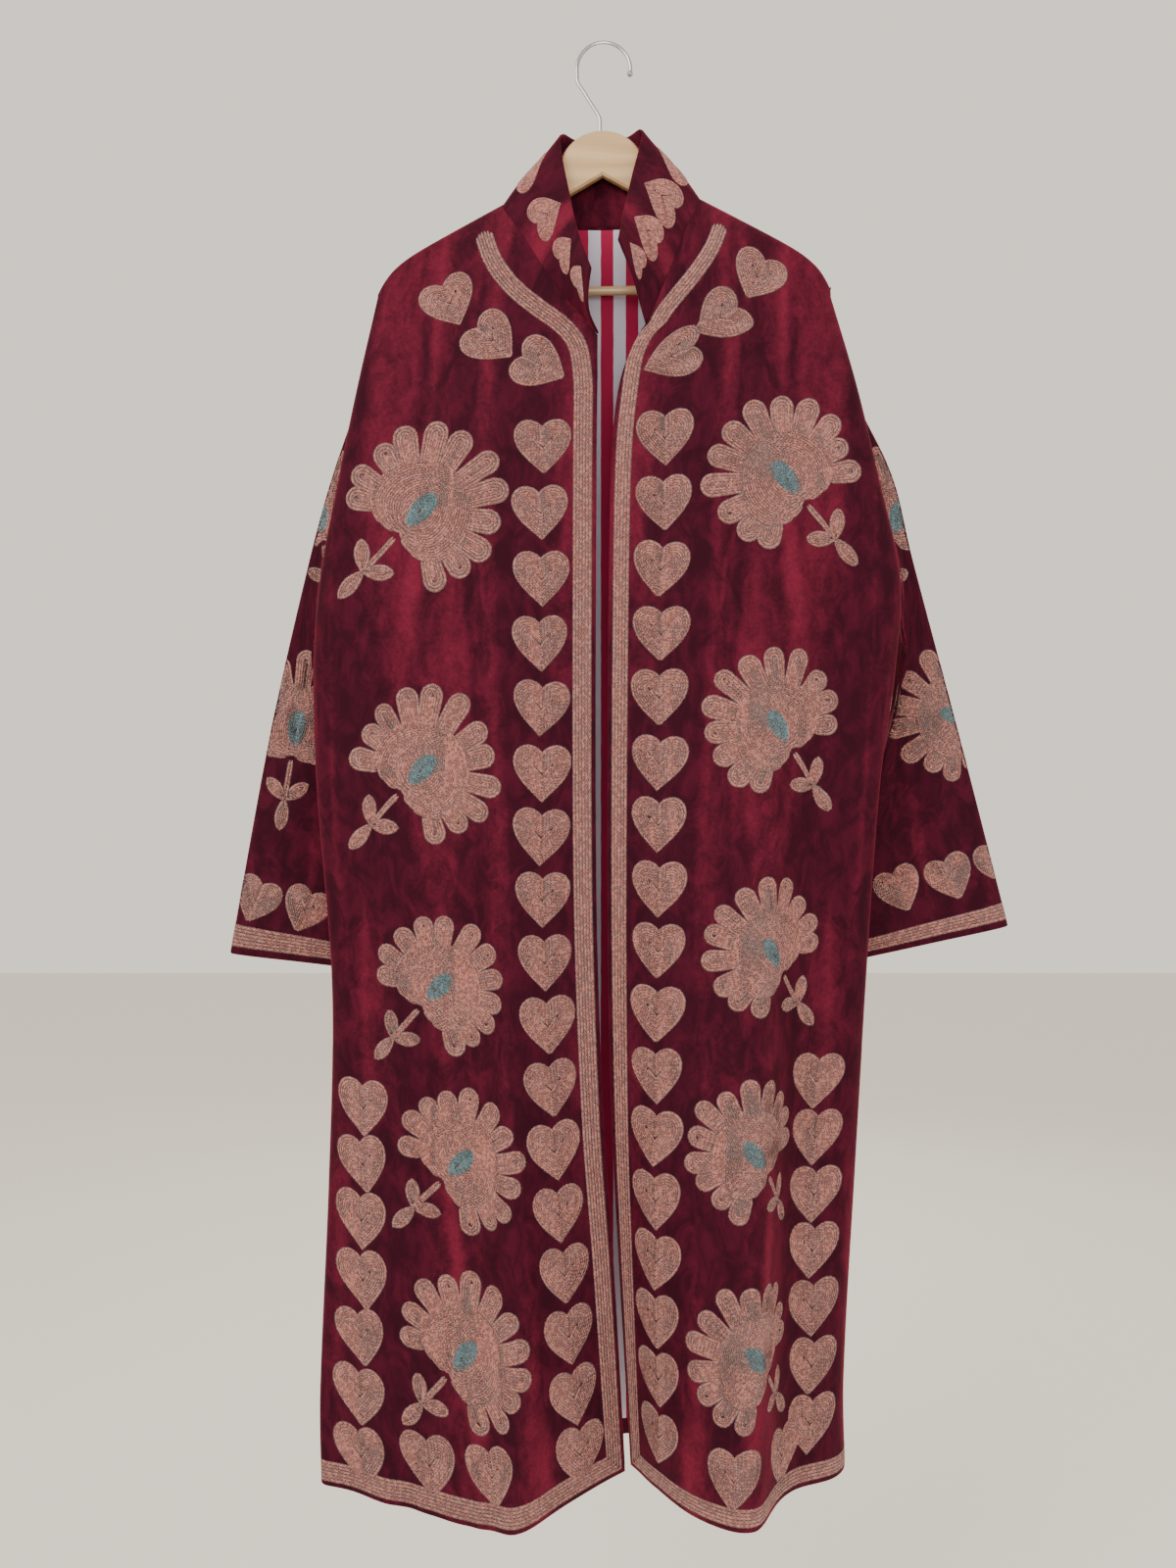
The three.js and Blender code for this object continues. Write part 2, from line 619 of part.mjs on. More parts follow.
function collarGrid(left, back, right) {
  const seamLine = neckSeam(left, back, right);
  const base = seamLine.map((station) => station.point);
  const lengths = [0];
  for (let i = 1; i < base.length; i++) lengths.push(lengths[i - 1] + base[i].distanceTo(base[i - 1]));
  const places = lengths.map((length) => length / lengths[lengths.length - 1]);
  const { top_x, top_y, top_z, belly } = collarEdge;
  const tops = places.map((place) => new THREE.Vector3(top_x(place), top_y(place), top_z(place)));
  const outward = neighbourNormals([base, tops], -1, false)[0];
  const points = [base];
  for (const height of COLLAR_HEIGHTS) {
    const bulge = Math.sin(Math.PI * height);
    const straight = tops.map((top, i) => base[i].clone().lerp(top, height));
    points.push(straight.map((p, i) => p.addScaledVector(outward[i], belly(places[i]) * bulge)));
  }
  const normals = neighbourNormals(points, -1, false);
  normals[0] = seamLine.map((station) => station.normal);
  return { points, normals };
}

// Hanger
const wasm = await Module();
wasm.setup();

function solidFrom(geometry) {
  const bare = geometry.clone();
  bare.deleteAttribute("normal");
  bare.deleteAttribute("uv");
  const merged = mergeVertices(bare, 1e-4);
  const triVerts = new Uint32Array(merged.index.array);
  return new wasm.Manifold(new wasm.Mesh({ numProp: 3, vertProperties: merged.attributes.position.array, triVerts }));
}

function geometryFrom(solid) {
  const mesh = solid.getMesh();
  const geometry = new THREE.BufferGeometry();
  geometry.setAttribute("position", new THREE.Float32BufferAttribute(mesh.vertProperties, 3));
  geometry.setIndex(new THREE.BufferAttribute(mesh.triVerts, 1));
  return geometry;
}

// The board and the bar hang a little askew, turned about the board's middle
function tilted(geometry) {
  geometry.translate(0, 0, -WOOD.middle_z);
  geometry.rotateY(-TILT);
  geometry.translate(0, 0, WOOD.middle_z);
  return geometry;
}

function armTopZ(x) {
  return armFoldZ(x) - WOOD.under_fold;
}

// The board's outline, drawn in X and Z: a round head with a straight-sided notch under it, and two arms
function hangerShape() {
  const { neck_x, neck_rise, apex_z, head_radius, head_end_angle } = WOOD;
  const arm = [...ARM_TOP_X.map((x) => ({ x, z: armTopZ(x) })), ...LOBE];
  const neckZ = armTopZ(neck_x) + neck_rise;
  const shape = new THREE.Shape();
  shape.absarc(0, apex_z, head_radius, Math.PI - head_end_angle, head_end_angle, true);
  shape.lineTo(neck_x, neckZ);
  for (const { x, z } of arm) shape.lineTo(x, z);
  shape.lineTo(0, apex_z);
  for (const { x, z } of arm.reverse()) shape.lineTo(-x, z);
  shape.lineTo(-neck_x, neckZ);
  return shape;
}

function barAlongX(radius, halfLength) {
  const bar = new THREE.CylinderGeometry(radius, radius, 2 * halfLength, BAR.sides);
  bar.rotateZ(Math.PI / 2);
  bar.translate(0, 0, BAR.z);
  return tilted(bar);
}

function hangerBoard() {
  const { thickness, bevel } = WOOD;
  const board = new THREE.ExtrudeGeometry(hangerShape(), {
    depth: thickness - 2 * bevel,
    bevelEnabled: true,
    bevelThickness: bevel,
    bevelSize: bevel,
    bevelOffset: -bevel,
    bevelSegments: 1,
    curveSegments: 12,
  });
  board.translate(0, 0, -(thickness - 2 * bevel) / 2);
  board.rotateX(Math.PI / 2);
  const holeRadius = HOOK.wire_radius + 2 * SEAM_GAP;
  const hole = new THREE.CylinderGeometry(holeRadius, holeRadius, HOOK.socket_depth, HOOK.wire_sides);
  hole.rotateX(Math.PI / 2);
  hole.translate(STEM.x, 0, HOOK.foot_z - SEAM_GAP + HOOK.socket_depth / 2);
  const sockets = barAlongX(BAR.radius + SEAM_GAP, BAR.half_length + SEAM_GAP);
  return geometryFrom(solidFrom(tilted(board)).subtract(solidFrom(hole)).subtract(solidFrom(sockets)));
}

// The wire rises from the board, leans left, and turns over in a ring
function hookCurve() {
  const { ring_radius, wire_radius, ring_starts, ring_ends, ring_step, foot_z } = HOOK;
  const centreZ = wire_radius - ring_radius;
  const points = [new THREE.Vector3(STEM.x, 0, foot_z)];
  for (const z of between(foot_z, STEM.top_z, STEM.points - 1)) points.push(new THREE.Vector3(STEM.x, 0, z));
  for (const share of [0, ...between(0, 1, LEAN.points - 1)]) {
    points.push(new THREE.Vector3(lerp(LEAN.from_x, LEAN.to_x, share), 0, lerp(LEAN.from_z, LEAN.to_z, share)));
  }
  for (let degrees = ring_starts; degrees >= ring_ends; degrees -= ring_step) {
    const a = degToRad(degrees);
    points.push(new THREE.Vector3(ring_radius * Math.cos(a), 0, centreZ + ring_radius * Math.sin(a)));
  }
  return new THREE.CatmullRomCurve3(points, false, "centripetal");
}

// The hook's wire, with a ball on its end
function hangerHook() {
  const { wire_sides, wire_radius, wire_steps, ball_radius } = HOOK;
  const section = new THREE.Shape();
  for (let i = 0; i < wire_sides; i++) {
    const a = (i / wire_sides) * 2 * Math.PI;
    const corner = [wire_radius * Math.cos(a), wire_radius * Math.sin(a)];
    if (i === 0) section.moveTo(...corner);
    else section.lineTo(...corner);
  }
  const curve = hookCurve();
  const wire = new THREE.ExtrudeGeometry(section, { steps: wire_steps, bevelEnabled: false, extrudePath: curve });
  const ball = new THREE.SphereGeometry(ball_radius, wire_sides + 2, wire_sides);
  ball.translate(...curve.getPoint(1).toArray());
  return geometryFrom(solidFrom(wire).add(solidFrom(ball)));
}

// The assembled coat
const coat = new THREE.Group();

function add(name, geometry, finish) {
  const mesh = new THREE.Mesh(geometry, new THREE.MeshStandardMaterial(COLOURS[finish]));
  mesh.name = name;
  coat.add(mesh);
}

const LINING_OUT = -(VELVET_WALL + SEAM_GAP);
const LINING_IN = LINING_OUT - LINING_WALL;

// The lining stops one cell short of its panel's edges and under the fold over the hanger's arm
function addPanel(name, grid) {
  const rows = grid.points.length;
  const inside = (r, c) => r >= LINING_TOP_ROW && r < rows - 2 && c >= 1 && c < grid.cols - 2;
  add(name, wall(grid, -VELVET_WALL, 0), "velvet");
  add(`${name}_lining`, wall(grid, LINING_IN, LINING_OUT, inside), "lining");
}

const grids = { left: frontGrid("left"), back: backGrid(), right: frontGrid("right") };
addPanel("front_left", grids.left);
addPanel("front_right", grids.right);
addPanel("back", grids.back);
for (const panel of ["left", "right"]) {
  const grid = sleeveGrid(panel, grids[panel], grids.back);
  add(`sleeve_${panel}`, wall(grid, -VELVET_WALL, 0, () => true, true), "velvet");
}
add("collar", wall(collarGrid(grids.left, grids.back, grids.right), -VELVET_WALL, 0), "velvet");
add("hanger_board", hangerBoard(), "wood");
add("hanger_bar", barAlongX(BAR.radius, BAR.half_length), "wood");
add("hanger_hook", hangerHook(), "steel");

export default coat;
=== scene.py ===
# %% [markdown]
# # A velvet duster coat on a wooden hanger
# The real coat is cut flat from cotton velvet: two long fronts, one back, two wide
# straight sleeves and a stand collar, with a striped cotton lining. Rose thread is
# chain-stitched over it in hearts, fan-shaped flowers and plain bands. The packed
# model gives the solids. This lesson lays finer cloth over the same shape, stitches
# the embroidery on it row by row, and gives each surface its finish.

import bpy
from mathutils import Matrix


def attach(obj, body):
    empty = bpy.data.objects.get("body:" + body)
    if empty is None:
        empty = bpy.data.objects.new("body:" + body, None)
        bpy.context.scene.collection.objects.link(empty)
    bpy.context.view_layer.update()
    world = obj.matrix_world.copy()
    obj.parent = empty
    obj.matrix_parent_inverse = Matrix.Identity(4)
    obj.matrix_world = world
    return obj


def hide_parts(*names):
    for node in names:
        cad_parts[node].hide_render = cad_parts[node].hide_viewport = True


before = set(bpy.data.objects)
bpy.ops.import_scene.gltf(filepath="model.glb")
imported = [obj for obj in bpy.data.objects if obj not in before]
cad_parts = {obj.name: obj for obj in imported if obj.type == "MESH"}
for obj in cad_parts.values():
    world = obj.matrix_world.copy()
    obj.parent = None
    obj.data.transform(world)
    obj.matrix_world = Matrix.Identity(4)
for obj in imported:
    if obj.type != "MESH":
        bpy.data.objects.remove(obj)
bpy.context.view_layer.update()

import bpy
import numpy as np
from mathutils import Vector

random = np.random.default_rng(11)

# %% [markdown]
# ## The cut and the drape in numbers
# The coat hangs from the hook's crown, which is the origin. X runs to the viewer's
# right, Y away from the viewer and Z up, all in metres. Short tables say where the
# cloth turns round each side, where the front edges hang and how far the cloth
# stands in front of the hanger. They are the solids' own dimensions, so the cloth
# made here lies where the solids are. A smooth cubic joins the rows.

# %% Sizes of the coat
PANELS = ("left", "right")
VELVET_WALL = 0.0024
LINING_WALL = 0.0008
SEAM_GAP = 0.0003
ARM_DEPTH = 0.0101
SHOULDER = dict(neck_x=0.097, neck_z=-0.155, slope=0.53, tip_x=0.219, tip_drop=0.020, tip_power=16)
SHOULDER_PARTING = 0.0003
TILT = 0.016
HEM_Z = -1.358
SLIT_TOP_Z = -0.961
ARMHOLE = dict(top_z=-0.345, bottom_z=-0.550, opening_angle=27, opening_power=0.7)
SETTLING = 0.060
TURNING_RATE = 2
SECTION_POWER = 4
SIDE_SEAM_ANGLE = 93
STRAIGHT_SHARE = 0.8
TOP_SEARCH = dict(steps=40, share=0.6)


def table(columns, *rows):
    """Rows of numbers as dictionaries, under column names that are given once."""
    return [dict(zip(columns.split(), row)) for row in rows]


OUTLINE = table(
    "z left right",
    (-0.246, -0.219, 0.220),
    (-0.331, -0.236, 0.242),
    (-0.425, -0.254, 0.263),
    (-0.520, -0.271, 0.283),
    (-0.600, -0.277, 0.279),
    (-0.717, -0.274, 0.263),
    (-0.905, -0.259, 0.249),
    (-1.093, -0.260, 0.238),
    (-1.281, -0.264, 0.228),
    (-1.358, -0.261, 0.229),
)
FRONT_EDGES = table(
    "z left right",
    (-0.298, -0.007, 0.006),
    (-0.425, -0.0084, 0.0055),
    (-0.811, -0.0084, 0.0035),
    (-1.026, -0.0016, 0.007),
    (-1.170, 0.0085, 0.014),
    (-1.358, 0.0195, 0.025),
)
FALLEN_EDGE = dict(from_z=-0.287, open=0.0335, reach=0.045)
DEPTH_COLUMNS = "z edge inner middle outer side"
DEPTHS = {
    "left": table(
        DEPTH_COLUMNS,
        (-0.240, 0.048, 0.046, 0.040, 0.030, 0.000),
        (-0.350, 0.054, 0.056, 0.052, 0.042, 0.006),
        (-0.560, 0.056, 0.064, 0.060, 0.050, 0.010),
        (-0.800, 0.056, 0.068, 0.064, 0.054, 0.012),
        (-1.000, 0.054, 0.074, 0.070, 0.058, 0.014),
        (-1.200, 0.050, 0.084, 0.082, 0.066, 0.036),
        (-1.358, 0.044, 0.094, 0.094, 0.074, 0.058),
    ),
    "right": table(
        DEPTH_COLUMNS,
        (-0.240, 0.048, 0.046, 0.040, 0.030, 0.000),
        (-0.350, 0.055, 0.058, 0.054, 0.044, 0.006),
        (-0.560, 0.058, 0.068, 0.066, 0.050, 0.010),
        (-0.800, 0.058, 0.078, 0.078, 0.054, 0.012),
        (-1.000, 0.054, 0.088, 0.090, 0.058, 0.013),
        (-1.200, 0.042, 0.098, 0.106, 0.068, 0.004),
        (-1.358, 0.030, 0.106, 0.120, 0.082, -0.005),
    ),
}
BACK_DEPTHS = table(
    "z centre left right",
    (-0.240, 0.016, 0.000, 0.000),
    (-0.350, 0.017, -0.006, -0.006),
    (-0.560, 0.016, -0.010, -0.010),
    (-0.961, 0.016, -0.0134, -0.0126),
    (-1.060, 0.017, -0.006, -0.003),
    (-1.200, 0.020, -0.003, 0.006),
    (-1.358, 0.024, 0.000, 0.014),
)
DEPTH_STATIONS = ("edge", "inner", "middle", "outer", "outer")
FOLD_GROWN = 0.8
FOLDS = table(
    "panel x_top x_hem starts height inside outside",
    ("left", -0.100, -0.077, -0.330, 0.017, 0.026, 0.024),
    ("left", -0.190, -0.200, -0.420, 0.012, 0.022, 0.026),
    ("right", 0.168, 0.130, -0.360, 0.022, 0.036, 0.018),
    ("back", -0.150, -0.165, -0.520, 0.012, 0.030, 0.026),
    ("back", -0.040, -0.052, -0.330, 0.010, 0.026, 0.030),
    ("back", 0.070, 0.062, -0.360, 0.011, 0.030, 0.026),
    ("back", 0.150, 0.160, -0.560, 0.012, 0.026, 0.030),
)
DIP_FROM_Z = -0.90
HEM_DIP = {
    "left": dict(x=-0.120, depth=0.024, reach=0.085),
    "right": dict(x=0.075, depth=0.006, reach=0.060),
}
NECKLINES = {
    "left": table(
        "x z",
        (-0.0070, -0.298),
        (-0.0270, -0.274),
        (-0.0475, -0.247),
        (-0.0630, -0.222),
        (-0.0780, -0.196),
        (-0.0952, -0.168),
        (-0.0966, -0.161),
    ),
    "right": table(
        "x z",
        (0.0394, -0.287),
        (0.0490, -0.265),
        (0.0586, -0.242),
        (0.0690, -0.216),
        (0.0780, -0.190),
        (0.0912, -0.162),
        (0.0926, -0.1555),
    ),
    "back": table(
        "x z",
        (0.0000, -0.1720),
        (0.0240, -0.1715),
        (0.0480, -0.1700),
        (0.0700, -0.1680),
        (0.0906, -0.1650),
        (0.0924, -0.1586),
    ),
}
NECK_POINT_X = {"left": -0.097, "right": 0.093}
print("coat from", SHOULDER["neck_z"], "to", HEM_Z)


# %% A smooth cubic through a table
def cubic(t, span, ends, slopes):
    """The Hermite cubic from one end value to the other, with the two end slopes."""
    start = (2 * t**3 - 3 * t**2 + 1) * ends[0] + (t**3 - 2 * t**2 + t) * span * slopes[0]
    return start + (3 * t**2 - 2 * t**3) * ends[1] + (t**3 - t**2) * span * slopes[1]


def track(rows, key, column):
    """One column as a smooth function of another. Each row's slope is that between
    its neighbours, and beyond the first and last rows the end values hold."""
    rows = sorted(rows, key=lambda row: row[key])
    at = np.array([row[key] for row in rows])
    value = np.array([row[column] for row in rows])
    last = len(at) - 1
    ahead = np.minimum(np.arange(last + 1) + 1, last)
    behind = np.maximum(np.arange(last + 1) - 1, 0)
    slope = (value[ahead] - value[behind]) / (at[ahead] - at[behind])

    def along(x):
        x = np.clip(x, at[0], at[-1])
        i = np.clip(np.searchsorted(at, x, side="right") - 1, 0, last - 1)
        span = at[i + 1] - at[i]
        return cubic((x - at[i]) / span, span, (value[i], value[i + 1]), (slope[i], slope[i + 1]))

    return along


def tracks(rows, key):
    """One function for each other column of a table."""
    return {column: track(rows, key, column) for column in rows[0] if column != key}


side_x = tracks(OUTLINE, "z")
straight_edge_x = tracks(FRONT_EDGES, "z")
back_depth = tracks(BACK_DEPTHS, "z")
front_depth = {panel: tracks(DEPTHS[panel], "z") for panel in PANELS}
print("sides at the chest", side_x["left"](-0.52), side_x["right"](-0.52))

# %% [markdown]
# ## Small creases
# Velvet that has hung folded is never smooth: beside its large folds it carries
# narrow upright creases, which catch the light as bright streaks. Painted ones would
# slide over the shape, so each is a low ridge in the surface itself: a bell curve
# across, which fades in and out along its height.

# %% Creases of the velvet
CREASES = {
    "left": dict(count=15, low=-0.265, high=-0.035),
    "right": dict(count=15, low=0.035, high=0.265),
    "back": dict(count=24, low=-0.24, high=0.24),
}
CREASE = dict(width=(0.006, 0.014), height=(0.0006, 0.0026), middle=(-1.30, -0.42), reach=(0.12, 0.42))
CREASE_LEAN = 0.035


def make_creases(count, low, high):
    """Random narrow ridges: a table of arrays, one value for each crease."""
    place = low + (high - low) * (np.arange(count) + random.uniform(0.1, 0.9, count)) / count
    ridges = dict(x=place, lean=random.normal(0, CREASE_LEAN, count))
    for size, limits in CREASE.items():
        ridges[size] = random.uniform(*limits, count)
    return ridges


creases = {panel: make_creases(**row) for panel, row in CREASES.items()}


def crease_height(panel, x, z):
    """Sum of ridges: height times exp of minus (distance across / width) squared,
    times exp of minus (distance along / reach) squared."""
    total = np.zeros_like(x)
    for place, lean, width, height, middle, reach in zip(*creases[panel].values()):
        across = (x - place - lean * (z - middle)) / width
        total = total + height * np.exp(-(across**2)) * np.exp(-(((z - middle) / reach) ** 2))
    return total


def fold_height(panel, x, z):
    """Large folds grow from their top to the hem, and the small creases ride on them."""
    total = crease_height(panel, x, z)
    for fold in [row for row in FOLDS if row["panel"] == panel]:
        down = np.clip((fold["starts"] - z) / (fold["starts"] - HEM_Z), 0, 1)
        ridge = fold["x_top"] + (fold["x_hem"] - fold["x_top"]) * down
        width = np.where(np.abs(x) > np.abs(ridge), fold["outside"], fold["inside"])
        grown = np.clip(down / FOLD_GROWN, 0, 1)
        grown = grown * grown * (3 - 2 * grown)
        total = total + fold["height"] * grown * np.exp(-(((x - ridge) / width) ** 2))
    return total


print("creases", {panel: row["count"] for panel, row in CREASES.items()})

# %% [markdown]
# ## The body as one surface
# Seen from above, each half of the coat is a squarish oval: an angle of 0 is the
# front edge, 90 the side and 180 the middle of the back. At the shoulder the oval
# closes over the hanger's arm. So a point of the cloth is a function of two
# parameters, the angle and the height, and a panel is a grid of them.


# %% The surface of the body
def edge_x(panel, z):
    """Where a front edge hangs. The right one falls open under the collar."""
    below = np.maximum(FALLEN_EDGE["from_z"] - z, 0)
    fallen = FALLEN_EDGE["open"] * np.exp(-below / FALLEN_EDGE["reach"])
    return straight_edge_x[panel](z) + (fallen if panel == "right" else 0)


def shoulder_z(x):
    """The fold over the hanger's arm: a straight slope that drops away at its tip."""
    out = np.minimum(np.abs(x), SHOULDER["tip_x"])
    drop = SHOULDER["tip_drop"] * (out / SHOULDER["tip_x"]) ** SHOULDER["tip_power"]
    return SHOULDER["neck_z"] - SHOULDER["slope"] * (out - SHOULDER["neck_x"]) - drop + TILT * x


def open_depth(panel, share, z):
    """Depth of a front across its width: a smooth cubic through five depths."""
    depths = np.stack([front_depth[panel][name](z) for name in DEPTH_STATIONS])
    last = len(depths) - 1
    ahead = np.minimum(np.arange(last + 1) + 1, last)
    behind = np.maximum(np.arange(last + 1) - 1, 0)
    slopes = (depths[ahead] - depths[behind]) / (ahead - behind).reshape((-1,) + (1,) * z.ndim)
    i = np.clip((share * last).astype(int), 0, last - 1)

    def pick(values):
        return [np.take_along_axis(values, index[None], 0)[0] for index in (i, i + 1)]

    return cubic(share * last - i, 1, pick(depths), pick(slopes))


def hem_dip(panel, x, z):
    """How far a front sinks near its hem, where its weight pulls the slanting threads down."""
    dip = HEM_DIP[panel]
    grown = np.clip((DIP_FROM_Z - z) / (DIP_FROM_Z - HEM_Z), 0, 1) ** 2
    return dip["depth"] * grown * np.exp(-(((x - dip["x"]) / dip["reach"]) ** 2))


def share_of_angle(angle):
    """The share of the half width that an angle reaches: the sine, flattened."""
    return np.abs(np.sin(np.radians(angle))) ** (2 / SECTION_POWER)


def angle_of_share(share):
    """The angle from 0 to 90 that reaches a share of the half width."""
    return np.degrees(np.arcsin(np.clip(share, 0, 1) ** (SECTION_POWER / 2)))


def angle_at(panel, x, z, back=False):
    """The angle at which the surface passes x at height z."""
    start = 0 if back else edge_x(panel, z)
    angle = angle_of_share((x - start) / (side_x[panel](z) - start))
    return 180 - angle if back else angle


def body_surface(panel, angle, z, back=False):
    """Outside of the body at an angle and a height.

    x runs from the front edge, or the back's middle, out to the side as the
    flattened sine. y runs from the side's depth to the front's or back's own depth
    as the flattened cosine. Near the shoulder both close over the hanger's arm as a
    quarter circle, and they settle into the hanging section below it.
    """
    angle, z = np.broadcast_arrays(np.asarray(angle, float), np.asarray(z, float))
    cosine = np.cos(np.radians(angle))
    across = share_of_angle(angle)
    closing = np.abs(cosine) ** (2 / SECTION_POWER)
    start = np.zeros_like(z) if back else edge_x(panel, z)
    x = start + (side_x[panel](z) - start) * across
    side = front_depth[panel]["side"](z)
    if back:
        side = np.where(z < SLIT_TOP_Z, -back_depth[panel](z), side)
        y = -side + (back_depth["centre"](z) + side + fold_height("back", x, z)) * closing
    else:
        front_y = -side - (open_depth(panel, across, z) + fold_height(panel, x, z) - side) * closing
        y = np.where(angle <= 90, front_y, -side + (back_depth["centre"](z) + side) * closing)
    below = np.maximum(shoulder_z(x) - z, 0)
    facing = np.clip(-TURNING_RATE * cosine, -1, 1) * ARM_DEPTH
    top_share = np.maximum(1 - below / ARM_DEPTH, 0)
    settled = 1 - np.exp(-below / SETTLING)
    y = facing * np.sqrt(1 - top_share**2) + (y - facing) * settled
    parting = SEAM_GAP / 2 + SHOULDER_PARTING * top_share
    if back:
        return np.stack([x, y + parting, z], axis=-1)
    return np.stack([x, y - parting, z - hem_dip(panel, x, z)], axis=-1)


def opened_angle(angle, z):
    """Inside the armhole the back starts further round, which leaves the sleeve's opening."""
    share = np.clip((ARMHOLE["top_z"] - z) / (ARMHOLE["top_z"] - ARMHOLE["bottom_z"]), 0, 1)
    opening = ARMHOLE["opening_angle"] * np.abs(np.sin(np.pi * share)) ** ARMHOLE["opening_power"]
    span = 180 - SIDE_SEAM_ANGLE
    return 180 - (180 - angle) * (span - opening) / span


def shoulder_top(panel, angle, back=False):
    """Height at which an angle meets the shoulder's fold, found by repeated part steps."""
    z = np.full_like(np.asarray(angle, float), SHOULDER["neck_z"])
    share = TOP_SEARCH["share"]
    for _ in range(TOP_SEARCH["steps"]):
        start = 0 if back else edge_x(panel, z)
        x = start + (side_x[panel](z) - start) * share_of_angle(angle)
        z = (1 - share) * z + share * shoulder_z(x)
    return z


print("chest point", body_surface("left", 45, -0.5).round(3))

# %% [markdown]
# ## From a grid of points to a cloth wall
# A cloth could be a single sheet, but velvet's cut edges show its thickness at the
# hem, cuffs and collar. So each panel gets two layers, the outside and the inside,
# joined by a rounded rim. Both come from one grid, moved along its normals. The UV
# map holds real lengths on the cloth, so weave, nap and stripes keep their true
# scale wherever the cloth bends.


# %% Walls from grids
def unit(vectors, least=1e-12):
    """Vectors of length 1 in the same directions."""
    return vectors / np.maximum(np.linalg.norm(vectors, axis=-1, keepdims=True), least)


def grid_normals(points, outward, wrap=False):
    """Unit normals of a grid: the cross product of its two central differences."""
    if wrap:
        across = np.roll(points, -1, axis=1) - np.roll(points, 1, axis=1)
    else:
        across = np.gradient(points, axis=1)
    return unit(np.cross(across, np.gradient(points, axis=0)) * outward)


def rims(rows, cols, wrap):
    """The boundary of a grid, as closed loops of (row, column)."""
    cell = np.stack(np.meshgrid(np.arange(rows), np.arange(cols), indexing="ij"), axis=-1)
    if wrap:
        return [cell[0], cell[-1, ::-1]]
    return [np.concatenate([cell[0, :-1], cell[:-1, -1], cell[-1, :0:-1], cell[:0:-1, 0]])]


def wall(points, normals, inner, outer, uv, wrap=False):
    """Vertices, faces and UVs of a closed wall over a grid.

    The outer layer is the grid plus outer times its normals, the inner layer the
    grid plus inner times its normals. Each rim bulges by half the wall's thickness.
    """
    rows, cols = points.shape[:2]
    layers = [points + outer * normals, points + inner * normals]
    vertices = [layer.reshape(-1, 3) for layer in layers]
    count = rows * cols
    r, c = (axis.ravel() for axis in np.mgrid[: rows - 1, : cols if wrap else cols - 1])
    corner_r = np.stack([r, r + 1, r + 1, r], axis=1)
    corner_c = np.stack([c, c, c + 1, c + 1], axis=1)
    face = corner_r * cols + corner_c % cols
    faces = [face, face[:, ::-1] + count]
    uvs = [uv[corner_r, corner_c], uv[corner_r, corner_c][:, ::-1]]
    offset = 2 * count
    for rim in rims(rows, cols, wrap):
        rim_r, rim_c = rim.T
        inside = points[np.clip(rim_r, 1, rows - 2), rim_c if wrap else np.clip(rim_c, 1, cols - 2)]
        away = unit(points[rim_r, rim_c] - inside)
        middle = (layers[0][rim_r, rim_c] + layers[1][rim_r, rim_c]) / 2
        vertices.append(middle + away * (outer - inner) / 2)
        own = rim_r * cols + rim_c
        mid = offset + np.arange(len(own))
        ahead = np.roll(np.arange(len(own)), -1)
        faces.append(np.stack([own, own[ahead], mid[ahead], mid], axis=1))
        faces.append(np.stack([mid, mid[ahead], own[ahead] + count, own + count], axis=1))
        edge_uv = uv[rim_r, rim_c]
        uvs += [np.stack([edge_uv, edge_uv[ahead], edge_uv[ahead], edge_uv], axis=1)] * 2
        offset += len(own)
    return [np.concatenate(part) for part in (vertices, faces, uvs)]


def mesh_piece(name, arrays, materials, stands_for=None, face_material=None, shade=None):
    """A smooth mesh object from arrays, faces outward, which rides on the coat's body.

    Every face is turned round if the closed shell's signed volume is negative.
    """
    vertices, faces, uvs = arrays
    a, *others = (vertices[corner] for corner in faces.T)
    if sum(np.einsum("ij,ij->", a, np.cross(b, c)) for b, c in zip(others, others[1:])) < 0:
        faces, uvs = faces[:, ::-1], uvs[:, ::-1]
    mesh = bpy.data.meshes.new(name)
    mesh.vertices.add(len(vertices))
    mesh.vertices.foreach_set("co", vertices.astype(np.float32).ravel())
    mesh.loops.add(faces.size)
    mesh.loops.foreach_set("vertex_index", faces.astype(np.int32).ravel())
    mesh.polygons.add(len(faces))
    mesh.polygons.foreach_set("loop_start", np.arange(0, faces.size, faces.shape[1], dtype=np.int32))
    mesh.polygons.foreach_set("use_smooth", np.ones(len(faces), bool))
    mesh.uv_layers.new(name="UVMap").data.foreach_set("uv", uvs.astype(np.float32).ravel())
    for material in materials:
        mesh.materials.append(material)
    if face_material is not None:
        mesh.polygons.foreach_set("material_index", face_material.astype(np.int32))
    if shade is not None:
        mesh.attributes.new("shade", "FLOAT", "POINT").data.foreach_set("value", shade.astype(np.float32))
    mesh.update(calc_edges=True)
    mesh.validate()
    return settle(bpy.data.objects.new(name, mesh), stands_for)


def settle(piece, stands_for):
    """Links a piece to the scene, fixes it to the body and hides the solid it stands for."""
    bpy.context.scene.collection.objects.link(piece)
    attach(piece, "root")
    if stands_for:
        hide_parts(stands_for)
    return piece


def around(points):
    """A tube's grid with its first column repeated at the end."""
    return np.concatenate([points, points[:, :1]], axis=1)


def sheet_area(points):
    """Area of a grid: the sum of each cell's two triangles."""
    a, b, c, d = points[:-1, :-1], points[1:, :-1], points[1:, 1:], points[:-1, 1:]
    halves = np.cross(b - a, c - a), np.cross(c - a, d - a)
    return float(sum(np.linalg.norm(half, axis=-1).sum() for half in halves) / 2)


def lengths_along(points):
    """Distance walked along a line of points, from 0 at its first one."""
    steps = np.linalg.norm(np.diff(points, axis=-2), axis=-1)
    return np.concatenate([np.zeros(steps.shape[:-1] + (1,)), np.cumsum(steps, axis=-1)], axis=-1)


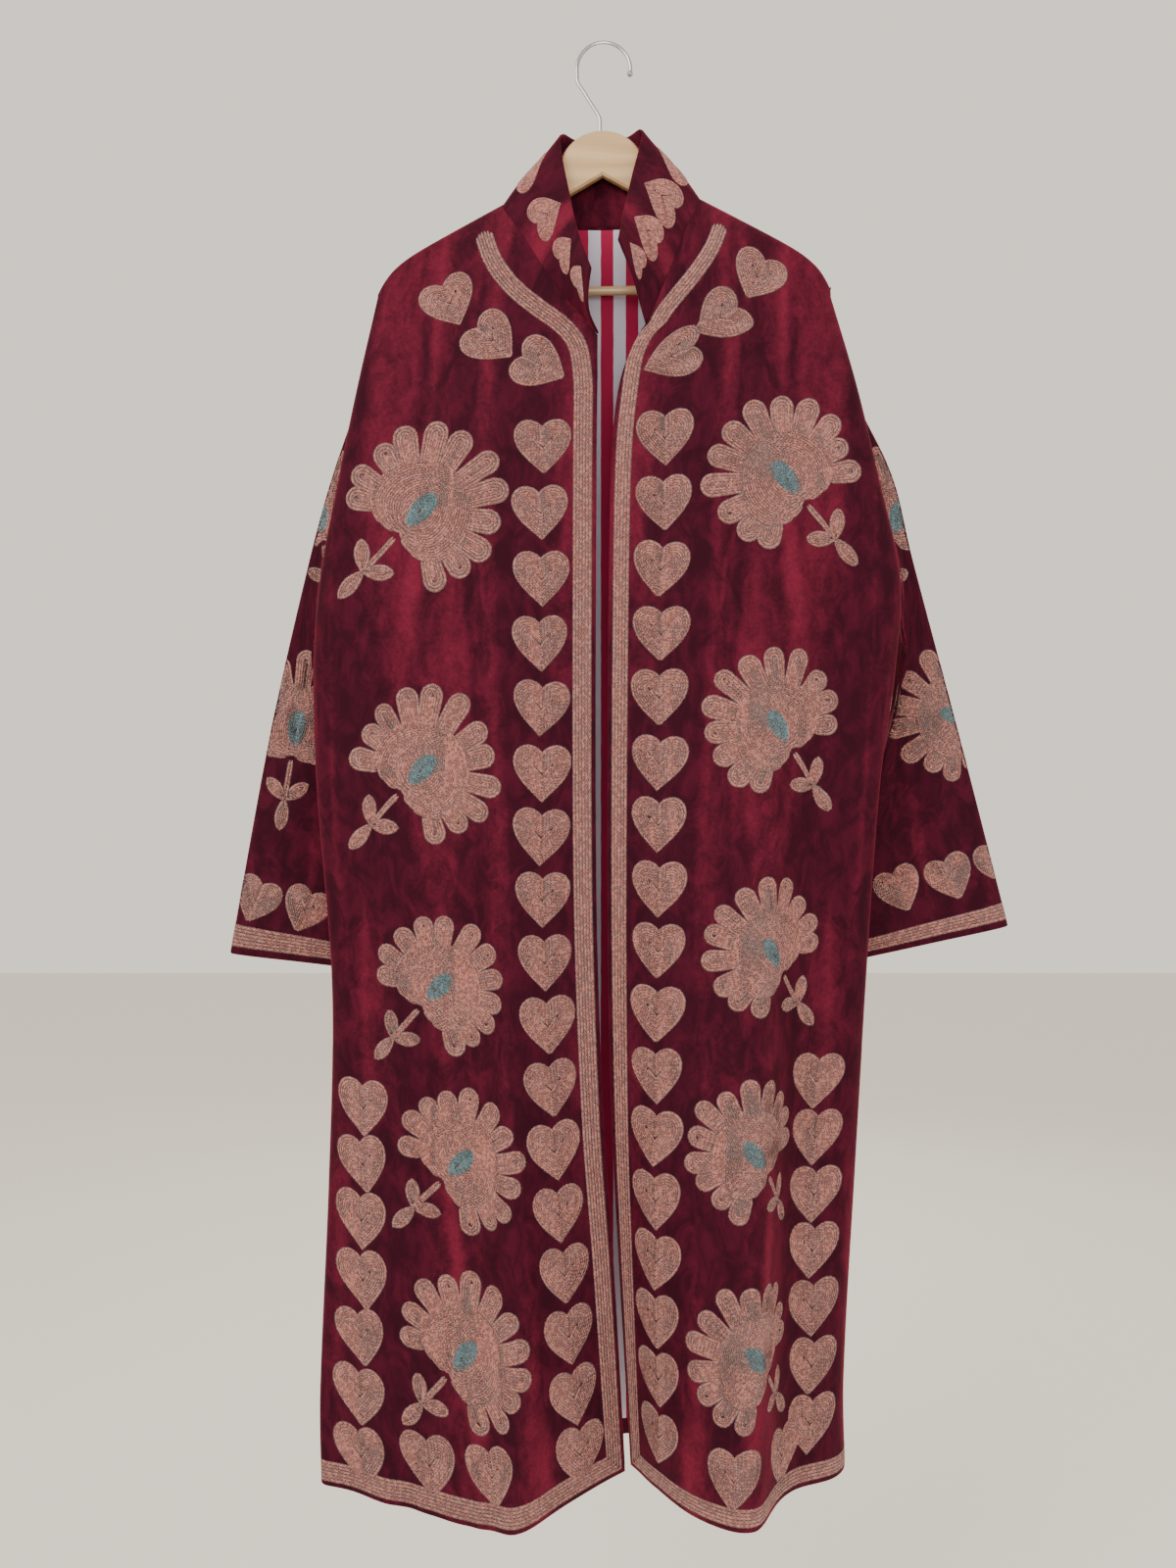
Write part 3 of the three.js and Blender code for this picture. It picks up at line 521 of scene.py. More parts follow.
print("wall helpers ready")

# %% [markdown]
# ## Shader arithmetic as plain Python
# Every finish below is a recipe of noises and masks. Blender builds such recipes
# from nodes, and a long chain of them is hard to read. The small class here wraps a
# socket, so that adding or multiplying two of them adds the Math node.


# %% A small language for finishes
class Field:
    """A number that varies over a surface, with arithmetic that builds Math nodes."""

    def __init__(self, finish, socket):
        self.finish = finish
        self.socket = socket

    def math(self, operation, *values):
        """A Math node over the given values, or over this field alone."""
        inputs = dict(enumerate(values or [self]))
        return self.finish.node("ShaderNodeMath", dict(operation=operation), inputs)

    def __add__(self, other):
        return self.math("ADD", self, other)

    def __sub__(self, other):
        return self.math("SUBTRACT", self, other)

    def __rsub__(self, other):
        return self.math("SUBTRACT", other, self)

    def __mul__(self, other):
        return self.math("MULTIPLY", self, other)

    def __truediv__(self, other):
        return self.math("DIVIDE", self, other)

    __radd__ = __add__
    __rmul__ = __mul__


class Finish:
    """A material under construction: its node tree and its one surface shader."""

    def __init__(self, name, **settings):
        self.material = bpy.data.materials.new(name)
        self.material.use_nodes = True
        self.tree = self.material.node_tree
        self.shader = self.tree.nodes["Principled BSDF"]
        for label, value in settings.items():
            self.shader.inputs[label.replace("_", " ")].default_value = value

    def node(self, kind, settings, inputs, output=0):
        """Adds a node, sets its settings, fills its sockets with values or links."""
        node = self.tree.nodes.new(kind)
        for label, value in settings.items():
            setattr(node, label, value)
        for label, value in inputs.items():
            if isinstance(value, Field):
                self.tree.links.new(value.socket, node.inputs[label])
            else:
                node.inputs[label].default_value = value
        return Field(self, node.outputs[output])

    def position(self):
        return self.node("ShaderNodeTexCoord", {}, {}, "Object")

    def uv(self):
        return self.node("ShaderNodeUVMap", dict(uv_map="UVMap"), {}, "UV")

    def uv_parts(self):
        """The map's first and second coordinate, as two fields."""
        split = self.node("ShaderNodeSeparateXYZ", {}, {"Vector": self.uv()})
        return split, Field(self, split.socket.node.outputs[1])

    def scaled(self, vector, scale):
        return self.node("ShaderNodeVectorMath", dict(operation="MULTIPLY"), {0: vector, 1: scale})

    def noise(self, vector, scale, detail=2.0, roughness=0.5, distortion=0.0):
        sizes = {"Scale": scale, "Detail": detail, "Roughness": roughness, "Distortion": distortion}
        return self.node("ShaderNodeTexNoise", {}, {"Vector": vector} | sizes, "Fac")

    def spread(self, value, low, high):
        """Stretches value so that low becomes 0 and high becomes 1, and eases both ends."""
        inputs = {"Value": value, "From Min": low, "From Max": high}
        return self.node("ShaderNodeMapRange", dict(interpolation_type="SMOOTHSTEP"), inputs)

    def mix(self, factor, first, second):
        """Colour between first and second by factor."""
        return self.node("ShaderNodeMix", dict(data_type="RGBA"), {0: factor, 6: first, 7: second}, 2)

    def bump(self, height, strength, distance):
        inputs = {"Height": height, "Strength": strength, "Distance": distance}
        self.feed("Normal", self.node("ShaderNodeBump", {}, inputs))

    def feed(self, label, field):
        self.tree.links.new(field.socket, self.shader.inputs[label])


def rgb(red, green, blue):
    return (red, green, blue, 1.0)


print("finish helpers ready")

# %% [markdown]
# ## Velvet
# Velvet is a forest of short upright fibres. Seen straight on it looks nearly
# black, and at a slant each fibre's flank lights up, so folds glow along their
# sides. The sheen of the surface shader does exactly that. Handling lays the nap
# over in cloudy, mostly upright patches, which the colour follows. The colour also
# holds painted sheen: upright streaks of a lit burgundy over a deep one, which
# stand in for bright streaks of light along the folds.


# %% Burgundy velvet
def velvet_finish():
    """Deep and lit burgundy, mixed by streaks along the cloth and by soft clouds. The
    streaks are partly nap and partly painted sheen, with the lit burgundy in place of
    light along the folds.
    """
    finish = Finish("burgundy velvet", Roughness=0.82, Specular_IOR_Level=0.08,
                    Sheen_Weight=0.30, Sheen_Roughness=0.35, Sheen_Tint=rgb(0.85, 0.055, 0.15))
    uv, place = finish.uv(), finish.position()
    streaks = finish.noise(finish.scaled(uv, (16.0, 1.8, 1.0)), 1.0, distortion=0.9)
    patches = finish.scaled(uv, (55.0, 30.0, 1.0))
    crushed = finish.noise(patches, 1.0, detail=4.0, roughness=0.65, distortion=0.8)
    fine = finish.noise(place, 260.0, detail=3.0, roughness=0.7)
    # Painted sheen and nap: mostly upright streaks lay the lit burgundy over the deep one, partly as real
    # nap patches and partly in place of light along the folds.
    nap_and_painted_sheen = finish.spread(streaks * 0.92 + crushed * 0.20 + fine * 0.12, 0.60, 0.92)
    pile = finish.noise(place, 1500.0, detail=1.0)
    clouds = finish.spread(crushed, 0.35, 0.70)
    deep = finish.mix(clouds, rgb(0.022, 0.0012, 0.0062), rgb(0.050, 0.0026, 0.0115))
    # The lit burgundy is the colour of the painted sheen, with a fine random tone.
    lit = finish.mix(fine, rgb(0.092, 0.0060, 0.0180), rgb(0.160, 0.0112, 0.0300))
    finish.feed("Base Color", finish.mix(nap_and_painted_sheen, deep, lit))
    finish.bump(pile * 0.5 + crushed * 0.8, 0.35, 0.0012)
    return finish.material


velvet = velvet_finish()
print("velvet has", len(velvet.node_tree.nodes), "nodes")

# %% [markdown]
# ## Striped cotton lining
# The lining is plain-woven cotton with upright stripes of crimson and lavender
# white. The stripes are woven into the cloth, so they follow its width, which the
# UV map measures in metres. A fine crossing of threads gives the dull surface.

# %% Striped lining
STRIPE = dict(period=0.0245, red_share=0.50, red_starts=-0.0023, edge=0.012)
THREADS = 9000.0


def lining_finish():
    """Red where the share of the stripe period is below the red share, with soft edges."""
    finish = Finish("striped cotton", Roughness=0.88, Specular_IOR_Level=0.2)
    across, along = finish.uv_parts()
    wobble = finish.noise(finish.position(), 60.0) * 0.0010
    share = ((across + wobble - STRIPE["red_starts"]) / STRIPE["period"]).math("FRACT")
    starts = finish.spread(share, 0.0, STRIPE["edge"])
    ends = 1.0 - finish.spread(share, STRIPE["red_share"], STRIPE["red_share"] + STRIPE["edge"])
    weave = (across * THREADS).math("SINE") * (along * THREADS).math("SINE")
    fade = finish.noise(finish.position(), 30.0, detail=3.0)
    white = finish.mix(fade, rgb(0.50, 0.46, 0.56), rgb(0.62, 0.57, 0.66))
    red = finish.mix(fade, rgb(0.29, 0.006, 0.042), rgb(0.38, 0.010, 0.060))
    shaded = finish.spread(weave, 0.0, 1.0) * 0.12
    striped = finish.mix(starts * ends, white, red)
    finish.feed("Base Color", finish.mix(shaded, striped, rgb(0.25, 0.15, 0.2)))
    finish.bump(weave, 0.12, 0.0003)
    return finish.material


striped_cotton = lining_finish()
print("stripes repeat every", STRIPE["period"])

# %% [markdown]
# ## Embroidery thread
# Chain stitch is a row of loops, each pulled out of the last, so a row looks like a
# flat plait: two strands that swing out and in. Every row of stitches is a raised
# ribbon of its own. Its UV map runs across from -1 to 1 and counts the stitches
# along it, which lets the finish draw the loops at their true size.


# %% Rose and blue thread
def thread_finish(name, painted_shade, middle, light):
    """Two strands whose distance from the row's middle follows a half sine in each
    stitch, with painted highlight on their crests and painted shade, the darkest
    tone, in the loops' eyes."""
    finish = Finish(name, Roughness=0.72, Specular_IOR_Level=0.25, Sheen_Weight=0.25, Sheen_Roughness=0.5)
    across, along = finish.uv_parts()
    swing = (along.math("FRACT") * np.pi).math("SINE") * 0.50
    strand = (across.math("ABSOLUTE") - swing).math("ABSOLUTE")
    crest = 1.0 - finish.spread(strand, 0.05, 0.55)
    shade = finish.node("ShaderNodeAttribute", dict(attribute_name="shade"), {}, "Fac")
    place = finish.position()
    grain = finish.spread(finish.noise(place, 330.0, roughness=0.6), 0.38, 0.62)
    fibre = finish.noise(place, 900.0)
    body = finish.mix(finish.spread(shade * 0.35 + grain * 0.65, 0.15, 0.85), middle, light)
    # Painted highlight on the strands' crests and painted shade in the loops' eyes, mixed with random grain
    # and fibre tone.
    lit = finish.spread(crest * 0.72 + grain * 0.45 + fibre * 0.18, 0.30, 0.95)
    finish.feed("Base Color", finish.mix(lit, painted_shade, body))
    finish.bump(crest * 0.5 + grain * 1.1 + fibre * 0.3, 0.8, 0.0016)
    return finish.material


# The first tone of each thread is its painted shade, for the loops' eyes.
ROSE_TONES = rgb(0.110, 0.026, 0.026), rgb(0.310, 0.092, 0.074), rgb(0.500, 0.165, 0.128)
BLUE_TONES = rgb(0.028, 0.055, 0.068), rgb(0.060, 0.130, 0.155), rgb(0.095, 0.185, 0.215)
threads = [thread_finish("rose thread", *ROSE_TONES), thread_finish("blue thread", *BLUE_TONES)]
print("threads", [thread.name for thread in threads])


# %% [markdown]
# ## Wood and steel
# The hanger is a flat board of pale wood under clear varnish, with the grain along
# its length. Its hook is bright drawn wire.


# %% Varnished wood and drawn steel
def wood_finish():
    """Pale wood: growth rings as a stretched noise, with finer dark pores along X."""
    finish = Finish("varnished wood", Roughness=0.38, Coat_Weight=0.25, Coat_Roughness=0.2)
    place = finish.position()
    rings = finish.noise(finish.scaled(place, (3.0, 24.0, 42.0)), 1.0, detail=3.0, distortion=0.8)
    pores = finish.noise(finish.scaled(place, (60.0, 900.0, 900.0)), 1.0)
    grain = finish.mix(finish.spread(rings, 0.35, 0.68), rgb(0.43, 0.260, 0.120), rgb(0.54, 0.350, 0.180))
    dark_pores = finish.spread(pores, 0.60, 0.80) * 0.35
    finish.feed("Base Color", finish.mix(dark_pores, grain, rgb(0.34, 0.19, 0.085)))
    finish.bump(pores, 0.08, 0.0003)
    return finish.material


def steel_finish():
    """Bright wire with faint drawing marks in its roughness."""
    finish = Finish("drawn steel", Metallic=1.0, Base_Color=rgb(0.33, 0.33, 0.34))
    marks = finish.noise(finish.scaled(finish.position(), (900.0, 900.0, 40.0)), 1.0)
    finish.feed("Roughness", 0.20 + marks * 0.16)
    return finish.material


varnished_wood = wood_finish()
drawn_steel = steel_finish()
print("finishes", [material.name for material in bpy.data.materials])

# %% [markdown]
# ## The cloth as the stitcher sees it
# The embroidery was worked on flat cloth, so its patterns keep their shape along
# the cloth, not across the room. For each panel a table turns a distance along the
# cloth into an angle of the section. The fronts count from their front edge, and
# the back counts from its middle.

# %% Distances along the cloth
MAP = dict(rows=240, columns=200, turn_columns=40, straight=0.95, top_z=-0.160)


class ClothMap:
    """Turns (distance from the starting edge, height) into an angle of one panel."""

    def __init__(self, panel, back=False):
        self.panel, self.back = panel, back
        z = np.linspace(MAP["top_z"], HEM_Z, MAP["rows"])
        straight = angle_of_share(np.linspace(0, MAP["straight"], MAP["columns"]))
        end = 180 - SIDE_SEAM_ANGLE if back else SIDE_SEAM_ANGLE
        turned = np.concatenate([straight, np.linspace(straight[-1], end, MAP["turn_columns"])[1:]])
        self.angles = 180 - turned if back else turned
        self.length = lengths_along(body_surface(panel, self.angles[None, :], z[:, None], back))
        shares = np.linspace(0, 1, MAP["columns"])
        self.angle_of = np.stack([np.interp(shares * row[-1], row, self.angles) for row in self.length])

    def row(self, z):
        """The table's row above a height, and how far the height lies below it."""
        place = (MAP["top_z"] - np.asarray(z)) / (MAP["top_z"] - HEM_Z) * (MAP["rows"] - 1)
        place = np.clip(place, 0, MAP["rows"] - 1.001)
        return place.astype(int), place - place.astype(int)

    def width(self, z):
        """Length of the cloth from its starting edge to its side seam at height z."""
        row, part = self.row(z)
        return self.length[row, -1] * (1 - part) + self.length[row + 1, -1] * part

    def angle(self, u, z):
        """Angle at distance u, read between the four nearest table entries."""
        row, part = self.row(z)
        column = np.clip(u / self.width(z), 0, 0.9999) * (MAP["columns"] - 1)
        c = column.astype(int)
        t = column - c
        upper, lower = (self.angle_of[r, c] * (1 - t) + self.angle_of[r, c + 1] * t for r in (row, row + 1))
        return upper * (1 - part) + lower * part

    def distance(self, x, z):
        """Distance along the cloth at which it passes x, at height z."""
        order = np.argsort(self.angles)
        lengths = self.length[self.row(z)[0]]
        return float(np.interp(angle_at(self.panel, x, z, self.back), self.angles[order], lengths[order]))


front_map = {panel: ClothMap(panel) for panel in PANELS}
back_map = {panel: ClothMap(panel, back=True) for panel in PANELS}


def front_place(panel):
    """A function from cloth coordinates to points on that front."""
    return lambda u, z: body_surface(panel, front_map[panel].angle(u, z), z)


def back_place(u, z):
    """Cloth coordinates of the back, negative to the viewer's left of its middle."""
    away = {"left": np.maximum(-u, 0), "right": np.maximum(u, 0)}
    halves = [body_surface(panel, back_map[panel].angle(away[panel], z), z, back=True) for panel in PANELS]
    return np.where((u < 0)[..., None], *halves)


print("front widths at the hem", [front_map[panel].width(HEM_Z).round(3) for panel in PANELS])

# %% [markdown]
# ## Fronts and back
# Each panel's grid has its columns along the cloth's width, denser where it turns
# round the side, and its rows from the shoulder to the hem, denser over the
# hanger's arm. The neckline is cut by starting each of its columns lower.

# %% Velvet panels
COLUMNS = dict(neck=26, shoulder=34, turn=26)
ROWS = dict(top=12, yoke=12, armhole=26, waist=50, skirt=50)
TOP_REACH = 0.018


def neckline(panel, back=False):
    """A neckline's (x, z) points. Those of the back reach to this side's neck point."""
    points = np.array([[row["x"], row["z"]] for row in NECKLINES["back" if back else panel]])
    if back:
        points[:, 0] *= NECK_POINT_X[panel] / NECK_POINT_X["right"]
        points[:, 1] += TILT * points[:, 0]
    return points


def neck_columns(points):
    """Evenly spaced columns along a neckline: its x and z as smooth functions of length."""
    length = lengths_along(points)
    rows = [dict(length=s, x=x, z=z) for s, (x, z) in zip(length, points)]
    at = np.linspace(0, length[-1], COLUMNS["neck"])
    return [column(at) for column in tracks(rows, "length").values()]


def row_heights(tops):
    """Heights of the rows under each column's top: close over the shoulder, even below."""
    first = tops - TOP_REACH * (np.arange(ROWS["top"])[:, None] / (ROWS["top"] - 1)) ** 2
    share = np.arange(1, ROWS["yoke"] + 1)[:, None] / ROWS["yoke"]
    yoke = first[-1] + (ARMHOLE["top_z"] - first[-1]) * share
    levels = [ARMHOLE["top_z"], ARMHOLE["bottom_z"], SLIT_TOP_Z, HEM_Z]
    counts = [ROWS["armhole"], ROWS["waist"], ROWS["skirt"]]
    lower = [np.linspace(high, low, n + 1)[1:] for high, low, n in zip(levels, levels[1:], counts)]
    return np.concatenate([first, yoke, np.concatenate(lower)[:, None] * np.ones_like(tops)])


def panel_points(panel, back=False):
    """The grid of a front from its edge, or of half the back from its middle, to the side seam."""
    neck_x, neck_z = neck_columns(neckline(panel, back))
    corner = NECK_POINT_X[panel]
    neck_share = share_of_angle(float(angle_at(panel, corner, shoulder_z(corner), back)))
    straight = angle_of_share(np.linspace(neck_share, STRAIGHT_SHARE, COLUMNS["shoulder"]))
    end = 180 - SIDE_SEAM_ANGLE if back else SIDE_SEAM_ANGLE
    outer = np.concatenate([straight, np.linspace(straight[-1], end, COLUMNS["turn"])[1:]])
    outer = 180 - outer if back else outer
    heights = row_heights(np.concatenate([neck_z, shoulder_top(panel, outer, back)]))
    angles = np.concatenate([angle_at(panel, neck_x, neck_z, back), outer])[None, :]
    return body_surface(panel, opened_angle(angles, heights) if back else angles, heights, back)


def back_points():
    """Both halves of the back, from the left side seam to the right one."""
    left, right = (panel_points(panel, back=True) for panel in PANELS)
    return np.concatenate([left[:, ::-1], right[:, 1:]], axis=1)


def cloth_uv(points, start_column):
    """UV in metres: distance along each row from the starting column, and height."""
    u = lengths_along(points * [1, 1, 0])
    return np.stack([u - u[:, start_column : start_column + 1], points[..., 2]], axis=-1)


def velvet_wall(name, points, normal, uv, wrap=False):
    """A velvet wall, which reaches inwards from its grid."""
    arrays = wall(points, normal, -VELVET_WALL, 0, uv, wrap)
    mesh_piece(f"{name}_velvet", arrays, [velvet], name)
    grids[name] = points
    print(name, "area", round(sheet_area(around(points) if wrap else points), 4), "square metres")


grids = {"front_left": panel_points("left"), "front_right": panel_points("right"), "back": back_points()}
outwards = {"front_left": 1, "front_right": -1, "back": 1}
normals = {name: grid_normals(points, outwards[name]) for name, points in grids.items()}
middles = {"front_left": 0, "front_right": 0, "back": grids["back"].shape[1] // 2}
uv_maps = {name: cloth_uv(points, middles[name]) for name, points in grids.items()}
for name, points in grids.items():
    velvet_wall(name, points, normals[name], uv_maps[name])

# %% [markdown]
# ## Lining
# The lining lies just inside the velvet and stops a little short of its edges. It
# shows at the back of the neck, through the gap between the fronts and inside the
# hem. It is the same grid, moved inwards by the velvet's thickness, with its edge
# rows and columns left out.

# %% Lining panels
LINING_OUT = -(VELVET_WALL + SEAM_GAP)
LINING_SKIP = dict(top=5, bottom=2, front=1, side=3)


def lining_wall(name, points, normal, uv):
    """A lining wall over every second row and column of a panel's grid."""
    first = LINING_SKIP["side"] if name == "back" else LINING_SKIP["front"]
    rows = slice(LINING_SKIP["top"], points.shape[0] - LINING_SKIP["bottom"], 2)
    cols = slice(first, points.shape[1] - LINING_SKIP["side"], 2)
    points, normal, uv = points[rows, cols], normal[rows, cols], uv[rows, cols]
    arrays = wall(points, normal, LINING_OUT - LINING_WALL, LINING_OUT, uv)
    mesh_piece(f"{name}_cotton", arrays, [striped_cotton], f"{name}_lining")
    grids[f"{name}_lining"] = points
    print(name, "lining area", round(sheet_area(points), 3))


for name in middles:
    lining_wall(name, grids[name], normals[name], uv_maps[name])

# %% [markdown]
# ## Sleeves
# A sleeve is a flat tube that leaves the armhole and hangs behind the body, pressed
# nearly flat. Its outer and inner folds are two lines in space, and a section
# between them is a squarish oval. Near the armhole the section blends into the
# armhole's own ring, so no gap opens at the seam.

# %% Sleeve shapes
SLEEVE_FIELDS = "along outer_x outer_y outer_z inner_x inner_y inner_z half"
SLEEVES = {
    "left": table(
        SLEEVE_FIELDS,
        (0.00, -0.240, 0.001, -0.346, -0.275, 0.000, -0.546, 0.005),
        (0.15, -0.266, 0.011, -0.421, -0.284, 0.014, -0.594, 0.009),
        (0.30, -0.289, 0.018, -0.500, -0.276, 0.026, -0.650, 0.011),
        (0.60, -0.328, 0.025, -0.663, -0.238, 0.031, -0.756, 0.011),
        (1.00, -0.369, 0.028, -0.883, -0.194, 0.032, -0.904, 0.010),
    ),
    "right": table(
        SLEEVE_FIELDS,
        (0.00, 0.247, 0.001, -0.346, 0.286, 0.000, -0.546, 0.005),
        (0.15, 0.281, 0.011, -0.414, 0.296, 0.014, -0.594, 0.009),
        (0.30, 0.302, 0.018, -0.492, 0.286, 0.026, -0.648, 0.011),
        (0.60, 0.350, 0.025, -0.664, 0.260, 0.031, -0.750, 0.011),
        (1.00, 0.400, 0.028, -0.856, 0.229, 0.032, -0.894, 0.010),
    ),
}
sleeve_folds = {panel: tracks(SLEEVES[panel], "along") for panel in PANELS}
ROOT_BLEND = 0.2
SLEEVE_ROWS = 60
SLEEVE_COLUMNS = 64
ROW_CROWDING = 1.2
SEWN_GAP = 0.0004
SLEEVE_CREASE = 0.0022
PIT_INSET = 0.03


def armhole_ring(panel, turn):
    """The armhole's edge: turn 0 to 0.5 goes down the front's rim, 0.5 to 1 up the back's."""
    down = PIT_INSET + (1 - 2 * PIT_INSET) * (1 - np.abs(2 * (turn % 1) - 1))
    z = ARMHOLE["top_z"] + (ARMHOLE["bottom_z"] - ARMHOLE["top_z"]) * down
    front = body_surface(panel, SIDE_SEAM_ANGLE, z)
    back = body_surface(panel, opened_angle(SIDE_SEAM_ANGLE, z), z, back=True)
    behind = np.clip(2 * np.cos(2 * np.pi * (turn - 0.75)) + 0.5, 0, 1)[..., None]
    ring = front * (1 - behind) + back * behind
    ring[..., 0] += np.sign(ring[..., 0]) * SEWN_GAP
    return ring


def sleeve_surface(panel, turn, along):
    """Outside of a sleeve: a point between the outer and inner folds by half a
    cosine, moved in front or behind by a squarish oval, with a few soft creases."""
    turn, along = np.broadcast_arrays(np.asarray(turn, float), np.asarray(along, float))
    fold = {name: column(along) for name, column in sleeve_folds[panel].items()}
    share = (1 - np.cos(2 * np.pi * turn)) / 2
    outer = np.stack([fold[f"outer_{axis}"] for axis in "xyz"], axis=-1)
    inner = np.stack([fold[f"inner_{axis}"] for axis in "xyz"], axis=-1)
    point = outer + (inner - outer) * share[..., None]
    roundness = np.clip(1 - np.abs(2 * share - 1) ** SECTION_POWER, 0, 1) ** (1 / SECTION_POWER)
    layer = np.where(turn % 1 < 0.5, -1, 1)
    ripple = np.sin(9.0 * share + 5.0 * along + 1.3 * layer) * np.sin(2.4 * along + share)
    point[..., 1] += layer * (fold["half"] * roundness) + SLEEVE_CREASE * ripple * roundness
    blend = np.clip(1 - along / ROOT_BLEND, 0, 1) ** 2
    return point + (armhole_ring(panel, turn) - point) * blend[..., None]


def sleeve(panel):
    """A sleeve's velvet tube, from the armhole, where its rows crowd, to the cuff."""
    name = f"sleeve_{panel}"
    turns = np.arange(SLEEVE_COLUMNS) / SLEEVE_COLUMNS
    shares = np.linspace(0, 1, SLEEVE_ROWS) ** ROW_CROWDING
    points = sleeve_surface(panel, turns[None, :], shares[:, None])
    outwards[name] = -1 if panel == "left" else 1
    girth = lengths_along(around(points))
    length = np.repeat(lengths_along(points[:, 0])[:, None], SLEEVE_COLUMNS + 1, 1)
    normal = grid_normals(points, outwards[name], wrap=True)
    velvet_wall(name, points, normal, np.stack([girth, length], axis=-1), wrap=True)


for panel in PANELS:
    sleeve(panel)

# %% [markdown]
# ## Stand collar
# The collar is a straight band sewn round the neck. It stands up behind the
# hanger's head and rolls outwards at both front ends. Its lower edge is the neck
# seam, read from the panels, and its upper edge follows a short table.

# %% Collar shape
COLLAR = table(
    "place top_x top_y top_z belly",
    (0.00, -0.014, -0.084, -0.250, 0.009),
    (0.11, -0.025, -0.054, -0.206, 0.005),
    (0.22, -0.033, -0.031, -0.161, 0.004),
    (0.33, -0.043, -0.004, -0.092, 0.002),
    (0.42, -0.028, 0.012, -0.088, 0.002),
    (0.53, -0.002, 0.017, -0.088, 0.001),
    (0.63, 0.024, 0.012, -0.085, 0.002),
    (0.71, 0.038, -0.004, -0.086, 0.002),
    (0.80, 0.028, -0.024, -0.136, 0.004),
    (0.90, 0.019, -0.046, -0.182, 0.004),
    (1.00, 0.014, -0.068, -0.217, 0.003),
)
collar_edge = tracks(COLLAR, "place")
COLLAR_COLUMNS = 150
COLLAR_ROWS = 26
COLLAR_WRINKLE = dict(height=0.0011, waves=62, slant=4, fades_at=1.2)
COLLAR_SEAM = 0.006
COLLAR_STEP = 0.004


def seam_part(panel, back=False):
    """The neckline of a front, or of half the back, as points on its surface."""
    x, z = neckline(panel, back).T
    return body_surface(panel, angle_at(panel, x, z, back), z, back)


def neck_seam():
    """The neck seam from the left front end round the back to the right one."""
    corner = {panel: np.array([[x, 0, shoulder_z(x)]]) for panel, x in NECK_POINT_X.items()}
    left = [seam_part("left"), corner["left"], seam_part("left", back=True)[:0:-1]]
    right = [seam_part("right", back=True), corner["right"], seam_part("right")[::-1]]
    return np.concatenate(left + right)


seam_points = neck_seam()
seam_length = lengths_along(seam_points)
seam_shares = seam_length / seam_length[-1]
seam_rows = [dict(place=s, x=x, y=y, z=z) for s, (x, y, z) in zip(seam_shares, seam_points)]
seam_track = tracks(seam_rows, "place")


def collar_base(place):
    return np.stack([seam_track[axis](place) for axis in "xyz"], axis=-1)


def collar_surface(place, height):
    """Outside of the collar: straight from the seam to the upper edge, plus a belly
    outwards that follows half a sine, plus slanting wrinkles near the seam."""
    place, height = np.broadcast_arrays(np.asarray(place, float), np.asarray(height, float))
    base = collar_base(place)
    top = np.stack([collar_edge[name](place) for name in ("top_x", "top_y", "top_z")], axis=-1)
    ahead, behind = np.minimum(place + COLLAR_STEP, 1), np.maximum(place - COLLAR_STEP, 0)
    along = collar_base(ahead) - collar_base(behind)
    half_sine = np.sin(np.pi * height)
    wave = np.sin(COLLAR_WRINKLE["waves"] * place + COLLAR_WRINKLE["slant"] * height)
    wrinkle = COLLAR_WRINKLE["height"] * wave * (COLLAR_WRINKLE["fades_at"] - height)
    bulge = (collar_edge["belly"](place) + wrinkle) * half_sine
    return base + (top - base) * height[..., None] + unit(np.cross(top - base, along)) * bulge[..., None]


def collar():
    """The collar's velvet band, with its outside away from the neck."""
    places = np.linspace(0, 1, COLLAR_COLUMNS)
    heights = COLLAR_SEAM + (1 - COLLAR_SEAM) * np.linspace(0, 1, COLLAR_ROWS)
    points = collar_surface(places[None, :], heights[:, None])
    normal = grid_normals(points, 1)
    normal *= np.sign(normal[COLLAR_ROWS // 2, COLLAR_COLUMNS // 2, 1])
    sideways = np.repeat(seam_length[-1] * places[None, :], COLLAR_ROWS, 0)
    upward = lengths_along(points.transpose(1, 0, 2)).T
    velvet_wall("collar", points, normal, np.stack([sideways, upward], axis=-1))


collar()

# %% [markdown]
# ## Rows of stitches
# A motif is a list of rows of chain stitch, each a line drawn on flat cloth. Rows
# are resampled to even steps, and each becomes a low closed ribbon: a left edge, a
# raised middle, a right edge and a flat underside. All rows of a panel are joined
# into one mesh, so hundreds of metres of thread stay light.

# %% Ribbons along the rows
ROW = 0.0029
STITCH = 0.0036
STEP = 0.0033
THREAD = dict(width=0.0035, height=0.0010, sunk=0.0002, jitter=0.00025, end=0.35)
SHORTEST_RUN = 2
ROSE = 0
BLUE = 1


def even_line(line, count, start=0.0):
    """A flat line with count points at even steps, from a distance along it to its end."""
    length = lengths_along(line)
    at = np.linspace(start, length[-1], count)
    return np.stack([np.interp(at, length, line[:, i]) for i in range(2)], axis=-1)


def resample(line, closed):
    """The same line with points one step apart."""
    line = np.asarray(line, float)
    if closed:
        line = np.concatenate([line, line[:1]])
    count = max(int(round(lengths_along(line)[-1] / STEP)), 4 if closed else 2)
    return even_line(line, count + 1)[: count if closed else None]


def beside(line, distances, closed=False):
    """A line moved sideways, to the left of its direction."""
    if closed:
        tangent = np.roll(line, -1, axis=0) - np.roll(line, 1, axis=0)
    else:
        tangent = np.gradient(line, axis=0)
    tangent = unit(tangent, 1e-9)
    return line + np.stack([-tangent[:, 1], tangent[:, 0]], axis=-1) * np.reshape(distances, (-1, 1))


